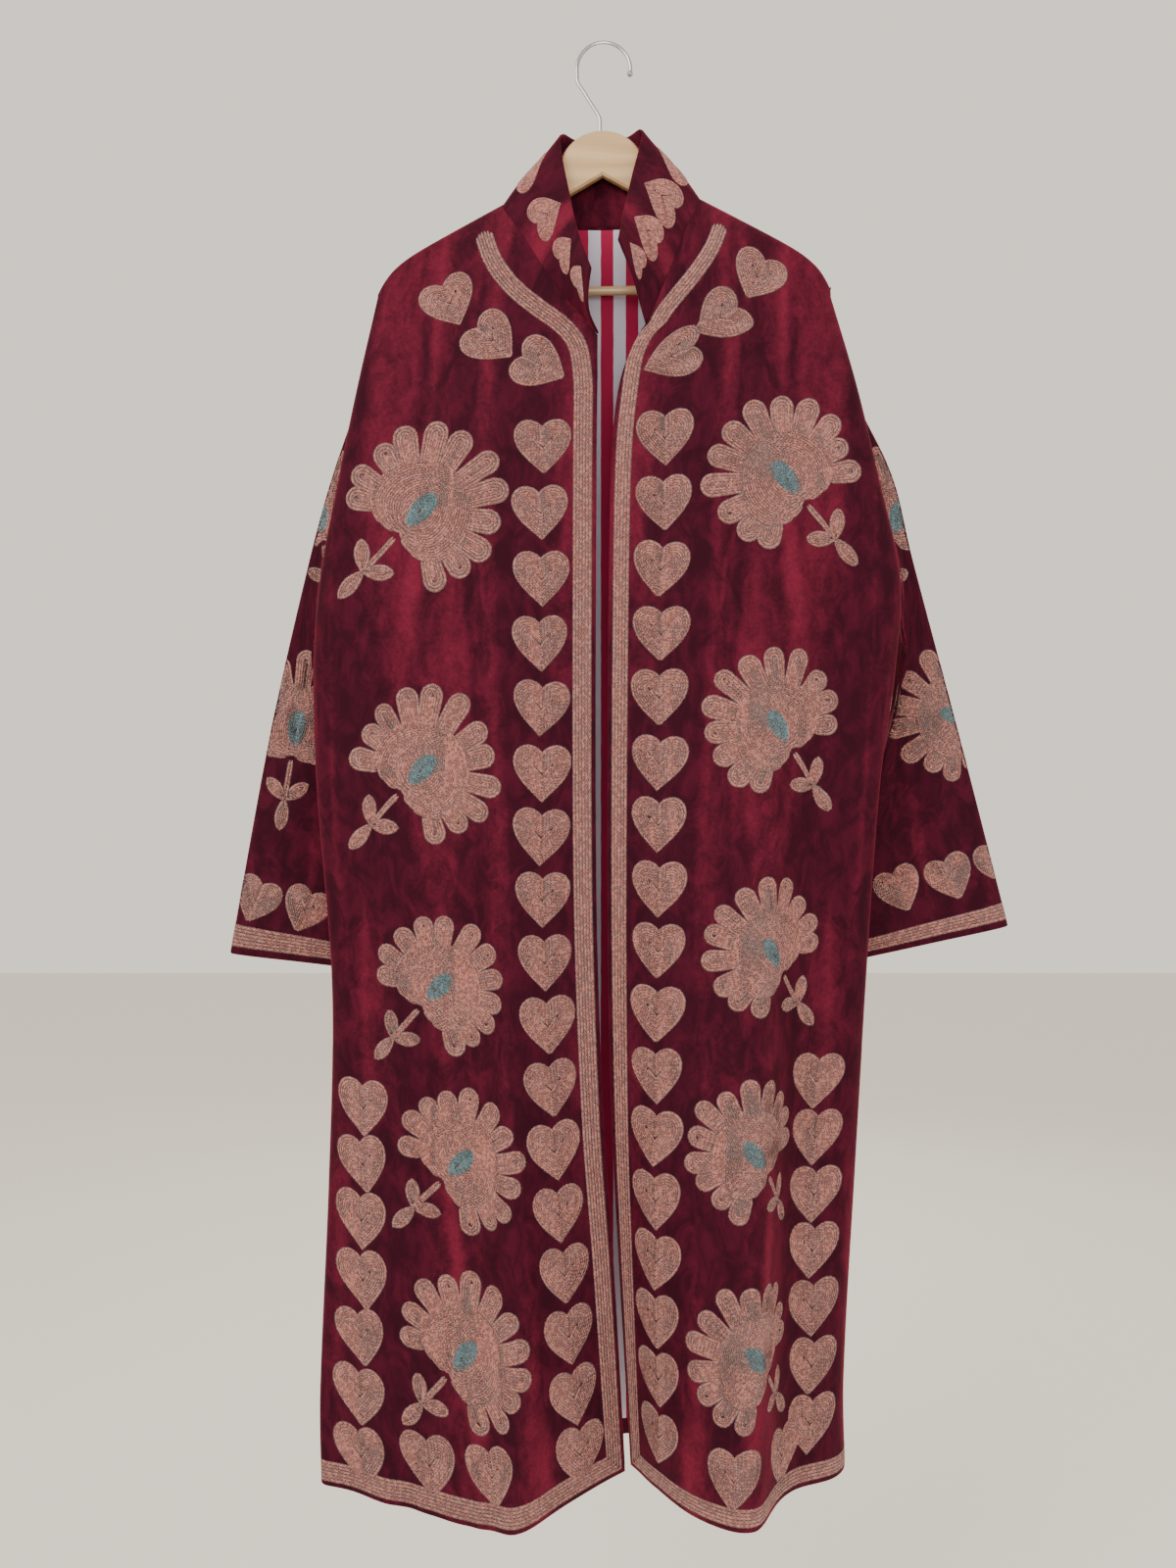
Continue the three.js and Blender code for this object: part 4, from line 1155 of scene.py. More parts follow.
def sections(line, closed):
    """Left edge, middle and right edge of a row on the flat cloth, narrowed at free ends."""
    half = np.full(len(line), THREAD["width"] / 2)
    if not closed:
        half[[0, -1]] *= THREAD["end"]
    return np.stack([beside(line, -half, closed), line, beside(line, half, closed)], axis=1)


def row_table(rows):
    """All rows in one set of arrays: sections, each point's neighbours and its count
    along its own row, and the segments and free ends that need faces."""
    arrays = dict(sections=[], ahead=[], behind=[], count=[], joined=[], colour=[], lift=[], shade=[])
    ends = []
    start = 0
    for line, closed, colour in rows:
        line = resample(line, closed)
        n = len(line)
        local = np.arange(n)
        ahead, behind = local + 1, local - 1
        lift = THREAD["height"] + random.uniform(-1, 1) * THREAD["jitter"]
        shade = random.uniform(0, 1)
        values = dict(
            sections=sections(line, closed),
            ahead=start + (ahead % n if closed else np.minimum(ahead, n - 1)),
            behind=start + (behind % n if closed else np.maximum(behind, 0)),
            count=local,
            joined=np.ones(n, bool) if closed else ahead < n,
            colour=np.full(n, colour),
            lift=np.full(n, lift),
            shade=np.full(n, shade),
        )
        for key, value in values.items():
            arrays[key].append(value)
        if not closed:
            ends.append([start, start + n - 1])
        start += n
    arrays = {key: np.concatenate(value) for key, value in arrays.items()}
    return arrays | dict(ends=np.array(ends, int).reshape(-1, 2))


def ribbon_points(rows, place, outward):
    """Three points for each step: two edges sunk just under the cloth and a crest over it."""
    flat = place(rows["sections"][..., 0], rows["sections"][..., 1])
    forward = flat[rows["ahead"], 1] - flat[rows["behind"], 1]
    normal = unit(np.cross(flat[:, 2] - flat[:, 0], forward) * outward)
    sunk = np.full(len(flat), -THREAD["sunk"])
    rise = np.stack([sunk, rows["lift"], sunk], axis=-1)
    return (flat + normal[:, None, :] * rise[..., None]).reshape(-1, 3)


def ribbon_faces(rows):
    """Triangles, their UVs and their thread colour: three sides for each step, and
    a cap on each free end."""
    i = np.flatnonzero(rows["joined"])
    j = rows["ahead"][i]
    low = rows["count"][i] * STEP / STITCH
    high = low + STEP / STITCH
    faces, uvs = [], []

    def corner(across, along):
        return np.stack([np.full(len(i), float(across - 1)), along], axis=-1)

    for a, b in ((0, 1), (1, 2), (2, 0)):
        faces.append(np.stack([3 * i + a, 3 * i + b, 3 * j + b], axis=1))
        faces.append(np.stack([3 * i + a, 3 * j + b, 3 * j + a], axis=1))
        uvs.append(np.stack([corner(a, low), corner(b, low), corner(b, high)], axis=1))
        uvs.append(np.stack([corner(a, low), corner(b, high), corner(a, high)], axis=1))
    first, last = 3 * rows["ends"].T
    faces.append(np.stack([first, first + 2, first + 1], axis=1))
    faces.append(np.stack([last, last + 1, last + 2], axis=1))
    uvs.append(np.zeros((2 * len(first), 3, 2)))
    colour = rows["colour"]
    colours = [np.tile(colour[i], 6), np.tile(colour[rows["ends"][:, 0]], 2)]
    return np.concatenate(faces), np.concatenate(uvs), np.concatenate(colours)


def stitch(name, rows, place, outward):
    """One mesh of every row on a panel. Outward is 1 or -1, for the panel's side."""
    rows = row_table(rows)
    faces, uvs, colour = ribbon_faces(rows)
    arrays = ribbon_points(rows, place, outward), faces, uvs
    mesh_piece(name, arrays, threads, face_material=colour, shade=np.repeat(rows["shade"], 3))
    print(name, round(len(rows["count"]) * STEP, 1), "m of stitching,", len(faces), "triangles")


def clipped(rows, inside):
    """Cuts rows where they leave a surface: each becomes its runs of points inside."""
    lines = [resample(line, closed) for line, closed, _ in rows]
    kept = inside(*np.concatenate(lines).T)
    parts = []
    start = 0
    for line, (_, closed, colour) in zip(lines, rows):
        mask = kept[start : start + len(line)]
        start += len(line)
        if mask.all():
            parts.append((line, closed, colour))
            continue
        if closed and mask.any():
            turn = int(np.flatnonzero(~mask)[0])
            line, mask = np.roll(line, -turn, axis=0), np.roll(mask, -turn)
        edges = np.flatnonzero(np.diff(np.concatenate([[0], mask.astype(int), [0]])))
        for first, last in edges.reshape(-1, 2):
            if last - first > SHORTEST_RUN:
                parts.append((line[first:last], False, colour))
    return parts


print("rows of stitches", ROW, "apart")

# %% [markdown]
# ## Hearts, leaves and flowers
# Stitchers outline a shape first and then fill it with rows that follow the
# outline, each one stitch further in. A heart's rows shrink towards a V-shaped
# spine. A flower is a fan of long rounded petals round a blue seed: each petal is a
# set of nested U-shaped rows, and rings of stitches fill its heart.

# %% Motifs on flat cloth
HEART = dict(width=0.0500, height=0.0515, rows=8, fullness=2.4)
LEAF = dict(spacing=0.95, widest=1.25, roundness=0.7)
PETAL = dict(half_width=0.0108, insets=(0.0, 0.0034, 0.0063, 0.0091), foot=0.80, starts=0.9, shortest=0.84)
PETAL_VARIES = dict(angle=(-2, 2), tip=(0.94, 1.05), width=(0.92, 1.05))
FLOWER = dict(core=0.052, longest=0.090, fan=122, closed_share=0.46, overlap=8, first_ring=0.6)
SEED = dict(half_width=0.0095, half_length=0.0205, bulge=0.18, shares=(0.94, 0.1, -0.14))
RING_LEAVES_OUT = (2, 6)
STEM = dict(start=0.034, joint=0.079, over_joint=0.004, leaf_turns=(48, -50))
SIDE_LEAF = dict(length=0.031, half_width=0.0066)
END_LEAF = dict(length=0.03472, half_width=0.0064)


def compass(angle):
    """Unit vectors in a direction, clockwise from up, and to the right of it."""
    forward = np.array([np.sin(angle), np.cos(angle)])
    return forward, np.array([forward[1], -forward[0]])


def heart(size=1.0, stretch=1.0):
    """A plump heart: 16 times a power of the sine across, and a sum of four cosines
    upwards. Its rows shrink evenly from that outline to a short V-shaped spine."""
    t = np.linspace(0, 2 * np.pi, 72, endpoint=False)
    x = 16 * np.sign(np.sin(t)) * np.abs(np.sin(t)) ** HEART["fullness"]
    y = 13 * np.cos(t) - 4.2 * np.cos(2 * t) - 1.6 * np.cos(3 * t) - 0.4 * np.cos(4 * t)
    outline = np.stack([x, y], axis=-1)
    spine = np.stack([0.30 * x, 0.33 * np.abs(x) - 3], axis=-1)
    scale = np.array([HEART["width"] / 32 * stretch, HEART["height"] / 28]) * size
    shares = np.arange(HEART["rows"]) / HEART["rows"]
    return [((outline + (spine - outline) * share) * scale, True, ROSE) for share in shares]


def leaf(base, direction, length, half_width):
    """Nested pointed ovals from a base point in a direction."""
    forward, sideways = compass(direction)
    s = np.linspace(0, 1, 16)[:, None]
    rows = []
    swell = np.sin(np.pi * s ** LEAF["widest"]) ** LEAF["roundness"]
    for inset in np.arange(0, half_width, ROW * LEAF["spacing"]):
        width = (half_width - inset) * swell * sideways
        middle = base + (inset + (length - 2 * inset) * s) * forward
        rows.append((np.concatenate([middle + width, (middle - width)[-2:0:-1]]), True, ROSE))
    return rows


def petal(angle, core, tip, half_width):
    """Nested U-shaped rows: up one side, round the tip in a half circle, down the other."""
    forward, sideways = compass(angle)
    reach = np.linspace(core, tip - half_width, 12)
    widen = PETAL["foot"] + (1 - PETAL["foot"]) * np.linspace(0, 1, 12)
    bend = np.linspace(0, np.pi, 9)[1:-1]
    rows = []
    for inset in PETAL["insets"]:
        radius = half_width - inset
        along = np.concatenate([reach, tip - half_width + radius * np.sin(bend), reach[::-1]])
        across = np.concatenate([-radius * widen, -radius * np.cos(bend), (radius * widen)[::-1]])
        rows.append((along[:, None] * forward + across[:, None] * sideways, False, ROSE))
    rows.append((reach[:, None] * forward, False, ROSE))
    return rows


def stem():
    """Two rows down from the flower, two side leaves at the joint and one at the end."""
    forward, sideways = compass(np.pi)
    reach = np.linspace(STEM["start"], STEM["joint"] + STEM["over_joint"], 12)[:, None]
    rows = [(reach * forward + offset * ROW * sideways, False, ROSE) for offset in (-0.5, 0.5)]
    base = STEM["joint"] * forward
    for side_turn in STEM["leaf_turns"]:
        rows += leaf(base, np.radians(side_turn), **SIDE_LEAF)
    return rows + leaf(base, np.pi, **END_LEAF)


def core_rings():
    """Rings from the seed out to the petals. They crowd together behind the seed, so
    only every fourth is whole there and the others stop on either side."""
    turn = np.linspace(0, 2 * np.pi, 64, endpoint=False)
    round_it = np.stack([np.sin(turn), np.cos(turn)], axis=-1)
    half = np.array([SEED["half_width"], SEED["half_length"]])
    seed = (1 + SEED["bulge"] * np.cos(turn)) / np.linalg.norm(round_it / half, axis=-1)
    away = np.degrees(np.abs((turn + np.pi) % (2 * np.pi) - np.pi))
    start = FLOWER["fan"] - FLOWER["overlap"]
    closing = np.clip((away - start) / (180 - start), 0, 1)
    outer = FLOWER["core"] * (1 - FLOWER["closed_share"] * closing)
    count = int(round((FLOWER["core"] - SEED["half_width"]) / ROW))
    first = FLOWER["first_ring"]
    rows = []
    for i in range(count + 1):
        ring = (seed + (outer - seed) * (i + first) / (count + first))[:, None] * round_it
        left_out = RING_LEAVES_OUT[i % 2]
        from_behind = np.roll(ring, len(turn) // 2, axis=0)[left_out : len(turn) + 1 - left_out]
        rows.append((ring, True, ROSE) if i % 4 == 0 else (from_behind, False, ROSE))
    seed_rows = [((seed * share)[:, None] * round_it, True, BLUE) for share in np.arange(*SEED["shares"])]
    return rows + seed_rows


def flower(size=1.0, petals=12):
    """A fan of petals round a seed, pointing up, with a stem, two leaves and an end leaf."""
    rows = []
    fan = FLOWER["fan"]
    for i in range(petals):
        angle = np.radians(-fan + 2 * fan * i / (petals - 1) + random.uniform(*PETAL_VARIES["angle"]))
        slant = max(np.cos(angle / np.radians(fan) * np.pi / 2), 0) ** 1.3
        reach = PETAL["shortest"] + (1 - PETAL["shortest"]) * slant
        tip = FLOWER["longest"] * reach * random.uniform(*PETAL_VARIES["tip"])
        width = PETAL["half_width"] * random.uniform(*PETAL_VARIES["width"])
        rows += petal(angle, FLOWER["core"] * PETAL["starts"], tip, width)
    rows += core_rings() + stem()
    return [(line * size, closed, colour) for line, closed, colour in rows]


def placed(rows, centre, turn=0.0, mirror=1):
    """Rows turned clockwise by turn degrees, mirrored if asked, and moved to a centre."""
    cosine, sine = np.cos(np.radians(turn)), np.sin(np.radians(turn))
    rotate = np.array([[cosine, -sine], [sine, cosine]])
    return [((line @ rotate) * [mirror, 1] + centre, closed, colour) for line, closed, colour in rows]


print("a heart has", len(heart()), "rows and a flower", len(flower()))

# %% [markdown]
# ## Bands along the edges
# A plain band of rows runs down each front edge, along the hem and up the side
# slit, and starts near the shoulder beside the neckline. On the flat cloth such a
# band is one path, moved sideways row by row.

# %% Bands on flat cloth
BAND_ROWS = {"left": 6, "right": 5, "back": 6}
BAND = dict(front=0.0045, hem=0.0050, slit=0.007, cuff=0.007, below_slit=0.004)
BAND_POINTS = dict(straight=20, shoulder=60, ring=90)
NECK_BAND = {
    "left": table(
        "x z",
        (-0.1154, -0.190),
        (-0.1064, -0.221),
        (-0.0878, -0.249),
        (-0.0623, -0.272),
        (-0.0372, -0.290),
        (-0.0230, -0.310),
    ),
    "right": table(
        "x z",
        (0.1118, -0.183),
        (0.1027, -0.210),
        (0.0853, -0.2375),
        (0.0682, -0.2595),
        (0.0509, -0.2825),
        (0.0341, -0.304),
    ),
}
JOIN_Z = {"left": -0.345, "right": -0.352}
BELOW_JOIN = dict(neck=0.02, edge=0.03)


def smooth_path(line):
    """A path through a few points with its corners rounded, by cutting them three times."""
    for _ in range(3):
        near, far = line[:-1] * 0.75 + line[1:] * 0.25, line[:-1] * 0.25 + line[1:] * 0.75
        line = np.concatenate([line[:1], np.stack([near, far], axis=1).reshape(-1, 2), line[-1:]])
    return line


def slit_line(cloth, i):
    """Row i of the band up a side slit, from the hem's band, as distances and heights."""
    low, high = HEM_Z + BAND["hem"] + i * ROW, SLIT_TOP_Z - BAND["below_slit"]
    z = np.linspace(low, high, BAND_POINTS["straight"])
    return np.stack([cloth.width(z) - BAND["slit"] - i * ROW, z], axis=-1)


def front_band(panel):
    """From the shoulder beside the neckline, down the front edge, along the hem and
    up the side slit: rows side by side, the first one nearest the edge. Each starts
    where a half circle over the band's width crosses it, which rounds the end."""
    cloth = front_map[panel]
    count = BAND_ROWS[panel]
    middle = BAND["front"] + (count - 1) / 2 * ROW
    joins = [[middle, JOIN_Z[panel]], [middle, JOIN_Z[panel] - BELOW_JOIN["neck"]]]
    neck = [[cloth.distance(row["x"], row["z"]), row["z"]] for row in NECK_BAND[panel]]
    neck = smooth_path(np.array(neck + joins))
    end_radius = count / 2 * ROW
    rows = []
    for i in range(count):
        offset = (i - (count - 1) / 2) * ROW
        cut_back = end_radius - np.sqrt(end_radius**2 - offset**2)
        shoulder = even_line(beside(neck, offset), BAND_POINTS["shoulder"], cut_back)
        slit = slit_line(cloth, i)
        down = np.linspace(JOIN_Z[panel] - BELOW_JOIN["edge"], slit[0, 1], BAND_POINTS["straight"])
        front = np.stack([np.full_like(down, BAND["front"] + i * ROW), down], axis=-1)
        rows.append((np.concatenate([shoulder, front, slit]), False, ROSE))
    return rows


def cuff_band(panel):
    """Rings round the cuff in metres round the sleeve and along it, evenly above its edge."""
    girth, length = cuff_size(panel)
    across = np.linspace(0, girth, BAND_POINTS["ring"], endpoint=False)
    heights = length - BAND["cuff"] - np.arange(BAND_ROWS[panel]) * ROW
    return [(np.stack([across, np.full_like(across, height)], axis=-1), False, ROSE) for height in heights]


print("band widths", {name: round(count * ROW, 4) for name, count in BAND_ROWS.items()})

# %% [markdown]
# ## Where the motifs sit on the fronts
# Hearts march down each front edge at an even pitch, and again up the side slit and
# along the hem. Five flowers stand between the two columns, and the lower ones are
# smaller. A table gives distances from the front edge as u, or places as x.

# %% Motifs of the fronts
HEART_COLUMN = {
    "left": dict(u=0.0500, top_z=-0.400, first_pitch=0.0615, last_pitch=0.0533),
    "right": dict(u=0.0480, top_z=-0.393, first_pitch=0.0610, last_pitch=0.0528),
}
HEART_COUNT = 17
SLIT_COLUMN = {
    "left": dict(x=(-0.2240, -0.2240), z=(-1.012, -1.320), count=7),
    "right": dict(x=(0.1980, 0.1900), z=(-0.988, -1.300), count=7),
}
LONE_HEARTS = {
    "left": table(
        "x z turn",
        (-0.160, -1.314, 0),
        (-0.101, -1.312, 0),
        (-0.147, -0.256, -22),
        (-0.109, -0.299, -51),
        (-0.062, -0.326, -67),
    ),
    "right": table(
        "x z turn",
        (0.112, -1.314, 0),
        (0.160, -1.316, 0),
        (0.147, -0.232, 27),
        (0.112, -0.278, 51),
        (0.067, -0.317, 59),
    ),
}
FLOWERS = {
    "left": table(
        "u z size turn",
        (0.166, -0.464, 0.97, -45),
        (0.166, -0.706, 0.88, -45),
        (0.158, -0.906, 0.80, -45),
        (0.150, -1.062, 0.78, -50),
        (0.163, -1.224, 0.80, -45),
    ),
    "right": table(
        "u z size turn",
        (0.165, -0.434, 0.92, -42),
        (0.160, -0.666, 0.84, -38),
        (0.158, -0.872, 0.78, -40),
        (0.142, -1.048, 0.74, -40),
        (0.152, -1.222, 0.76, -45),
    ),
}
WOBBLE = dict(turn=5, shift=0.0012, size=0.03)


def varied_heart(centre, turn=0.0, mirror=1):
    """A heart with the small unevenness of hand work."""
    size = 1 + random.uniform(-1, 1) * WOBBLE["size"]
    stretch = 1 + random.uniform(-1, 1) * WOBBLE["size"]
    own = turn + random.uniform(-1, 1) * WOBBLE["turn"]
    shift = random.uniform(-1, 1, 2) * WOBBLE["shift"]
    return placed(heart(size, stretch), np.asarray(centre) + shift, own, mirror)


def front_motifs(panel):
    """Every motif of a front. On the left front the distance runs to the viewer's
    left, so its motifs are mirrored to point the same way on the coat."""
    cloth = front_map[panel]
    mirror = -1 if panel == "left" else 1
    column = HEART_COLUMN[panel]
    pitches = np.linspace(column["first_pitch"], column["last_pitch"], HEART_COUNT - 1)
    rows = []
    for z in column["top_z"] - np.concatenate([[0], np.cumsum(pitches)]):
        rows += varied_heart((column["u"], z), 0, mirror)
    column = SLIT_COLUMN[panel]
    slit = [(x, z, 0) for x, z in np.linspace(*zip(column["x"], column["z"]), column["count"])]
    for x, z, turn in slit + [tuple(row.values()) for row in LONE_HEARTS[panel]]:
        rows += varied_heart((cloth.distance(x, z), z), turn, mirror)
    for row in FLOWERS[panel]:
        rows += placed(flower(row["size"]), (row["u"], row["z"]), row["turn"])
    return rows + front_band(panel)


for panel in PANELS:
    name = f"front_{panel}"
    stitch(f"{name}_embroidery", front_motifs(panel), front_place(panel), -outwards[name])

# %% [markdown]
# ## Motifs of the back, sleeves and collar
# The photograph doesn't show the back. It repeats the front: two columns of
# flowers, hearts down the middle and along the hem, and bands round the edges. On
# each sleeve two flowers stand over a row of hearts at the cuff.

# %% Motifs of the back
BACK_FLOWERS = table(
    "u z size",
    (0.125, -0.420, 0.96),
    (0.125, -0.660, 0.90),
    (0.120, -0.880, 0.84),
    (0.102, -1.055, 0.72),
    (0.102, -1.215, 0.72),
)
BACK = dict(heart_top_z=-0.260, heart_count=20, slit_inset=0.047, hem_u=(0.060, 0.122), above_hem=0.050)


def back_motifs():
    """Hearts down the middle, then the same motifs and bands on either side of them."""
    rows = []
    bottom_z = HEM_Z + BACK["above_hem"]
    for z in np.linspace(BACK["heart_top_z"], bottom_z, BACK["heart_count"]):
        rows += varied_heart((0.0, z))
    for side, panel in zip((-1, 1), PANELS):
        cloth = back_map[panel]
        for row in BACK_FLOWERS:
            rows += placed(flower(row["size"]), (side * row["u"], row["z"]), 45, side)
        column = SLIT_COLUMN[panel]
        for z in np.linspace(column["z"][0], bottom_z, column["count"]):
            rows += varied_heart((side * (float(cloth.width(z)) - BACK["slit_inset"]), z))
        for u in BACK["hem_u"]:
            rows += varied_heart((side * u, bottom_z))
        for i in range(BAND_ROWS["back"]):
            slit = slit_line(cloth, i)
            across = np.linspace(0, slit[0, 0], BAND_POINTS["straight"])[:-1]
            hem = np.stack([across, np.full_like(across, slit[0, 1])], axis=-1)
            rows.append((np.concatenate([hem, slit]) * [side, 1], False, ROSE))
    return rows


stitch("back_embroidery", back_motifs(), back_place, 1)

# %% Motifs of the sleeves
SLEEVE_FLOWERS = {
    "left": table("x z size turn", (-0.276, -0.458, 0.80, -8), (-0.301, -0.665, 0.86, 10)),
    "right": table("x z size turn", (0.285, -0.460, 0.80, 8), (0.348, -0.650, 0.78, -78)),
}
SLEEVE_HEARTS = {
    "left": table("x z", (-0.340, -0.828), (-0.292, -0.838), (-0.243, -0.846)),
    "right": table("x z", (0.290, -0.818), (0.340, -0.806), (0.388, -0.791)),
}
SLEEVE_HEART = dict(size=0.88, turn=24)
SLEEVE_PETALS = 11
LAYERS = {"front": dict(low=0.0, middle=0.25, high=0.5), "behind": dict(low=0.5, middle=0.75, high=1.0)}
FOLD_MARGIN = 0.012
ON_SLEEVE = 0.0006
NEWTON = dict(steps=10, difference=1e-4, least_det=1e-6, turn_step=0.1, along_step=0.2)
FIRST_GUESS = dict(top_z=-0.40, length=0.50, low=0.08, high=0.98)
ALONG_LIMITS = (0.02, 0.985)


def sleeve_turns(panel, x, z, layer):
    """Finds where on a sleeve a point of the view from the front lies: a few Newton
    steps on (turn, along), with slopes from small differences. Also gives the
    distance still missed, which tells points beyond the sleeve's folds."""
    low, high = LAYERS[layer]["low"] + FOLD_MARGIN, LAYERS[layer]["high"] - FOLD_MARGIN
    turn = np.full_like(x, LAYERS[layer]["middle"])
    guess = FIRST_GUESS
    along = np.clip((guess["top_z"] - z) / guess["length"], guess["low"], guess["high"])
    step = NEWTON["difference"]
    for _ in range(NEWTON["steps"]):
        here = sleeve_surface(panel, turn, along)
        a = (sleeve_surface(panel, turn + step, along) - here) / step
        b = (sleeve_surface(panel, turn, along + step) - here) / step
        miss_x, miss_z = x - here[..., 0], z - here[..., 2]
        det = a[..., 0] * b[..., 2] - b[..., 0] * a[..., 2]
        det = np.where(np.abs(det) < NEWTON["least_det"], NEWTON["least_det"], det)
        turn_step = (miss_x * b[..., 2] - b[..., 0] * miss_z) / det
        along_step = (a[..., 0] * miss_z - miss_x * a[..., 2]) / det
        turn_step = np.clip(turn_step, -NEWTON["turn_step"], NEWTON["turn_step"])
        along_step = np.clip(along_step, -NEWTON["along_step"], NEWTON["along_step"])
        turn = np.clip(turn + turn_step, low, high)
        along = np.clip(along + along_step, *ALONG_LIMITS)
    here = sleeve_surface(panel, turn, along)
    return turn, along, np.hypot(x - here[..., 0], z - here[..., 2])


def cuff_size(panel):
    """Length round a sleeve's cuff and length of the sleeve along its middle."""
    ring = sleeve_surface(panel, np.linspace(0, 1, 90), 1.0)
    middle = sleeve_surface(panel, 0.25, np.linspace(0, 1, 60))
    return float(lengths_along(ring)[-1]), float(lengths_along(middle)[-1])


def sleeve_motifs(panel):
    """Two flowers over a row of hearts, as seen from the front."""
    rows = []
    for row in SLEEVE_FLOWERS[panel]:
        rows += placed(flower(row["size"], SLEEVE_PETALS), (row["x"], row["z"]), row["turn"])
    lean = SLEEVE_HEART["turn"] * (1 if panel == "left" else -1)
    for row in SLEEVE_HEARTS[panel]:
        rows += placed(heart(SLEEVE_HEART["size"]), (row["x"], row["z"]), lean)
    return rows


def stitch_sleeve(panel):
    """The embroidery of a sleeve's two layers, and the band round its cuff."""
    name = f"sleeve_{panel}"
    for layer, facing in (("front", 1), ("behind", -1)):
        rows = clipped(sleeve_motifs(panel), lambda x, z: sleeve_turns(panel, x, z, layer)[2] < ON_SLEEVE)
        place = lambda x, z: sleeve_surface(panel, *sleeve_turns(panel, x, z, layer)[:2])
        stitch(f"{name}_embroidery_{layer}", rows, place, facing)
    girth, length = cuff_size(panel)
    place = lambda across, along: sleeve_surface(panel, across / girth, along / length)
    stitch(f"{name}_cuff_band", cuff_band(panel), place, outwards[name])


for panel in PANELS:
    stitch_sleeve(panel)

# %% Motifs of the collar
COLLAR_HEARTS = table(
    "place height size",
    (0.045, 0.55, 0.74),
    (0.120, 0.52, 0.86),
    (0.214, 0.47, 1.02),
    (0.320, 0.48, 0.95),
    (0.425, 0.48, 0.95),
    (0.530, 0.48, 0.95),
    (0.630, 0.48, 0.95),
    (0.715, 0.46, 0.95),
    (0.805, 0.44, 1.06),
    (0.890, 0.50, 0.95),
    (0.960, 0.56, 0.66),
)
COLLAR_TALL = 0.082
COLLAR_SIZE = np.array([seam_length[-1], COLLAR_TALL])
COLLAR_HEART = dict(size=0.92, turn=180, wobble=4)


def collar_place(along, up):
    """Cloth coordinates of the collar: metres along the seam and up from it."""
    return collar_surface(np.clip(along / COLLAR_SIZE[0], 0, 1), np.clip(up / COLLAR_SIZE[1], 0, 1))


def collar_motifs():
    """A row of hearts round the collar, with their points up."""
    rows = []
    for row in COLLAR_HEARTS:
        centre = np.array([row["place"], row["height"]]) * COLLAR_SIZE
        turn = COLLAR_HEART["turn"] + random.uniform(-1, 1) * COLLAR_HEART["wobble"]
        rows += placed(heart(row["size"] * COLLAR_HEART["size"]), centre, turn)
    return rows


stitch("collar_embroidery", collar_motifs(), collar_place, 1)

# %% [markdown]
# ## Hanger
# The board, the trouser bar and the hook keep the shapes of their solids, which are
# already those of the real ones. They only need their finishes, and the bevelled
# board keeps its crisp edges.

# %% Wood and steel on the hanger
HANGER = {
    "hanger_board": (varnished_wood, "wood"),
    "hanger_bar": (varnished_wood, "wood"),
    "hanger_hook": (drawn_steel, "steel"),
}


def hanger_piece(name, finish):
    """A copy of a solid's mesh with its own finish."""
    source = bpy.data.objects[name]
    mesh = source.data.copy()
    mesh.name = f"{name}_finished"
    mesh.materials.clear()
    mesh.materials.append(finish)
    mesh.polygons.foreach_set("material_index", np.zeros(len(mesh.polygons), np.int32))
    piece = bpy.data.objects.new(f"{name}_finished", mesh)
    piece.matrix_world = source.matrix_world.copy()
    settle(piece, name)
    print(name, "faces", len(mesh.polygons))


for name, (finish, slot) in HANGER.items():
    hanger_piece(name, finish)

# %% [markdown]
# ## What each cloth was cut from
# For each piece the length of its grid's longest column and its area are worked out,
# all round on a sleeve, but neither is kept. The area is what is left of the cut once
# necklines, armholes and slopes are cut away.


# %% The cuts
def state_cut(name, points):
    """Length of a grid's longest column and its area, worked out but not kept."""
    points = around(points) if name.startswith("sleeve") else points
    length = float(lengths_along(points.transpose(1, 0, 2))[:, -1].max())
    area = round(sheet_area(points), 4)


for name, points in grids.items():
    state_cut(name, points)

# %% [markdown]
# ## Light, floor and camera
# The photograph was taken indoors by soft daylight from the upper left. A large
# area light stands there. Weaker ones face the coat, fill its right and light its
# back. The camera looks squarely at the coat, level with its middle.

# %% Floor
FLOOR = dict(z=-1.78, half=6.0)


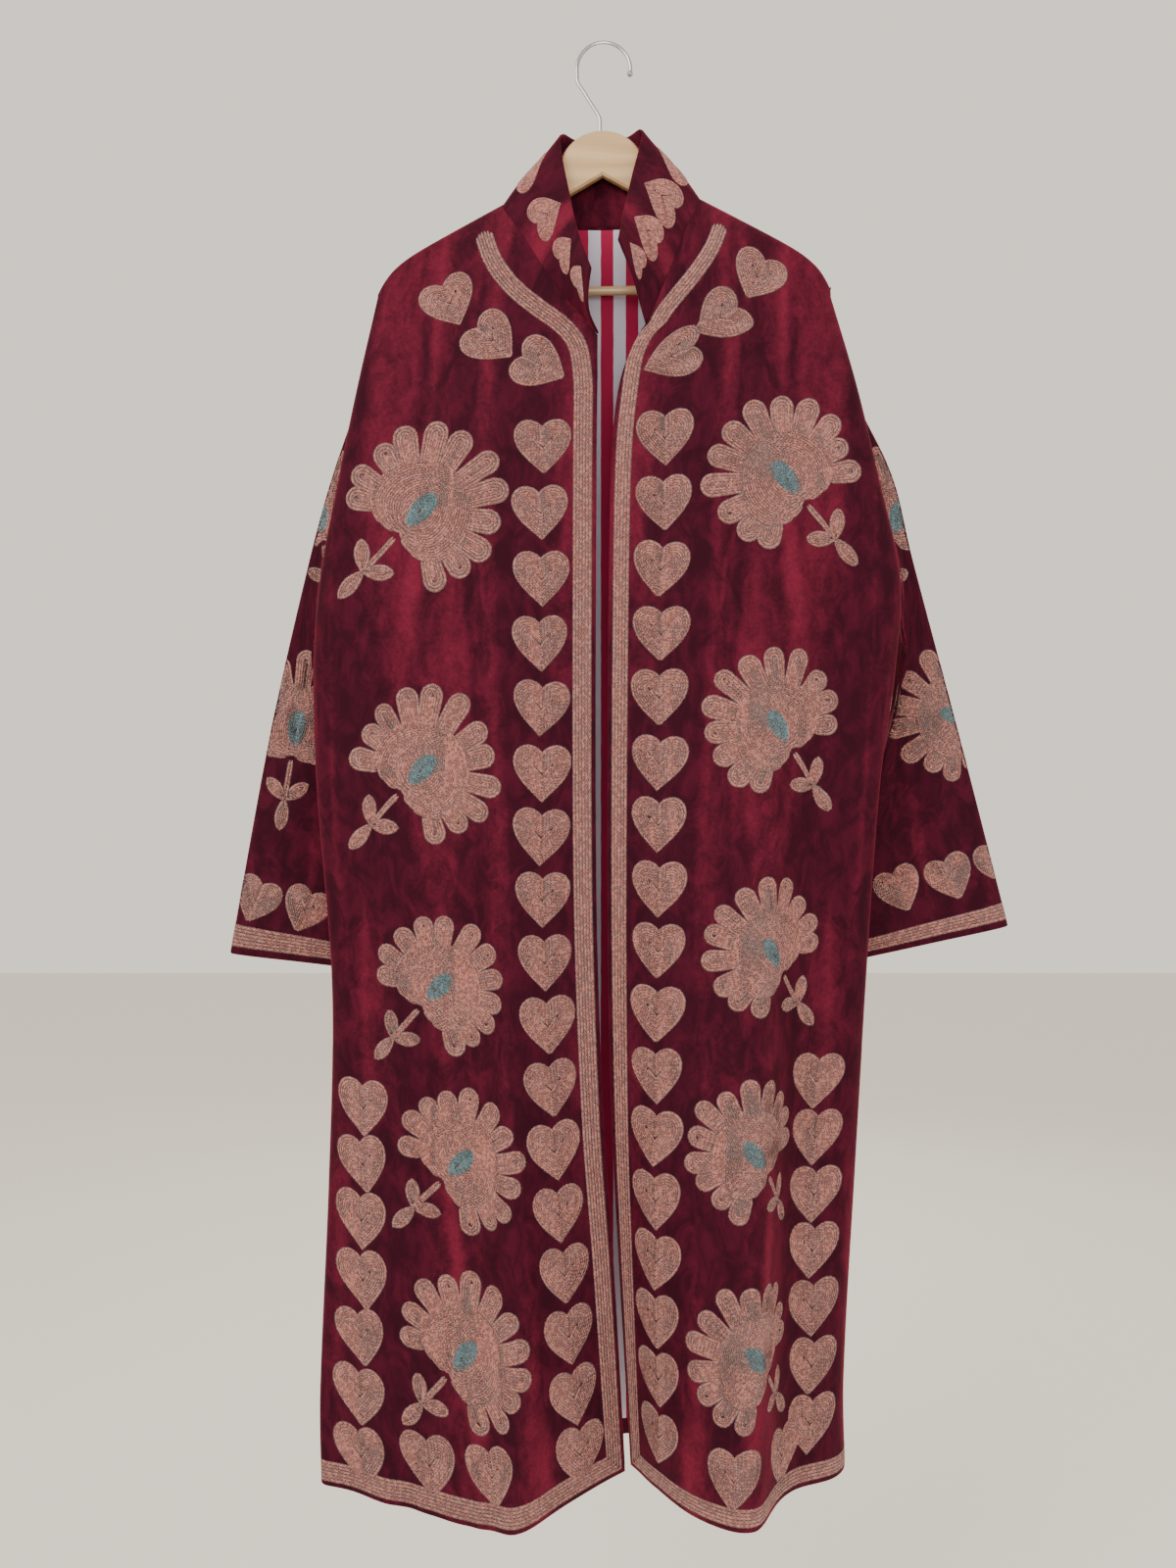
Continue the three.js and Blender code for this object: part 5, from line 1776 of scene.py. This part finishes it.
def floor_plane():
    finish = Finish("pale floor", Roughness=0.9, Base_Color=rgb(0.80, 0.765, 0.69))
    mesh = bpy.data.meshes.new("floor")
    half, z = FLOOR["half"], FLOOR["z"]
    corners = [(-half, -half, z), (half, -half, z), (half, half, z), (-half, half, z)]
    mesh.from_pydata(corners, [], [(0, 1, 2, 3)])
    mesh.materials.append(finish.material)
    plane = bpy.data.objects.new("floor", mesh)
    bpy.context.scene.collection.objects.link(plane)
    print("floor at", FLOOR["z"])


floor_plane()

# %% Light and camera
LIGHTS = table(
    "name at size watts colour",
    ("window", (-1.5, -2.0, 0.7), 1.6, 54, (1.0, 0.98, 0.95)),
    ("front", (0.1, -2.4, -0.3), 0.9, 24, (1.0, 0.99, 0.97)),
    ("fill", (1.9, -1.6, -0.5), 1.8, 16, (0.95, 0.97, 1.0)),
    ("rear", (0.6, 2.2, 0.4), 1.6, 26, (1.0, 1.0, 1.0)),
)
TARGET = (0.0, 0.0, -0.70)
CAMERA = dict(at=(-0.0152, -1.250, -0.717), lens=29.6, sensor=36.0)
WORLD = dict(colour=rgb(0.86, 0.80, 0.70), strength=1.35)


def area_light(row):
    """A square soft light that faces the coat."""
    light = bpy.data.lights.new(row["name"], "AREA")
    light.energy = row["watts"]
    light.size = row["size"]
    light.color = row["colour"]
    lamp = bpy.data.objects.new(row["name"], light)
    lamp.location = row["at"]
    lamp.rotation_euler = (Vector(TARGET) - Vector(row["at"])).to_track_quat("-Z", "Y").to_euler()
    bpy.context.scene.collection.objects.link(lamp)


for row in LIGHTS:
    area_light(row)

world = bpy.data.worlds.new("pale room")
world.use_nodes = True
background = world.node_tree.nodes["Background"]
background.inputs["Color"].default_value = WORLD["colour"]
background.inputs["Strength"].default_value = WORLD["strength"]
bpy.context.scene.world = world

camera = bpy.data.cameras.new("camera")
camera.sensor_fit = "VERTICAL"
camera.sensor_height = CAMERA["sensor"]
camera.lens = CAMERA["lens"]
camera_object = bpy.data.objects.new("camera", camera)
camera_object.location = CAMERA["at"]
camera_object.rotation_euler = (np.pi / 2, 0, 0)
bpy.context.scene.collection.objects.link(camera_object)
bpy.context.scene.camera = camera_object
print("lens", camera.lens)
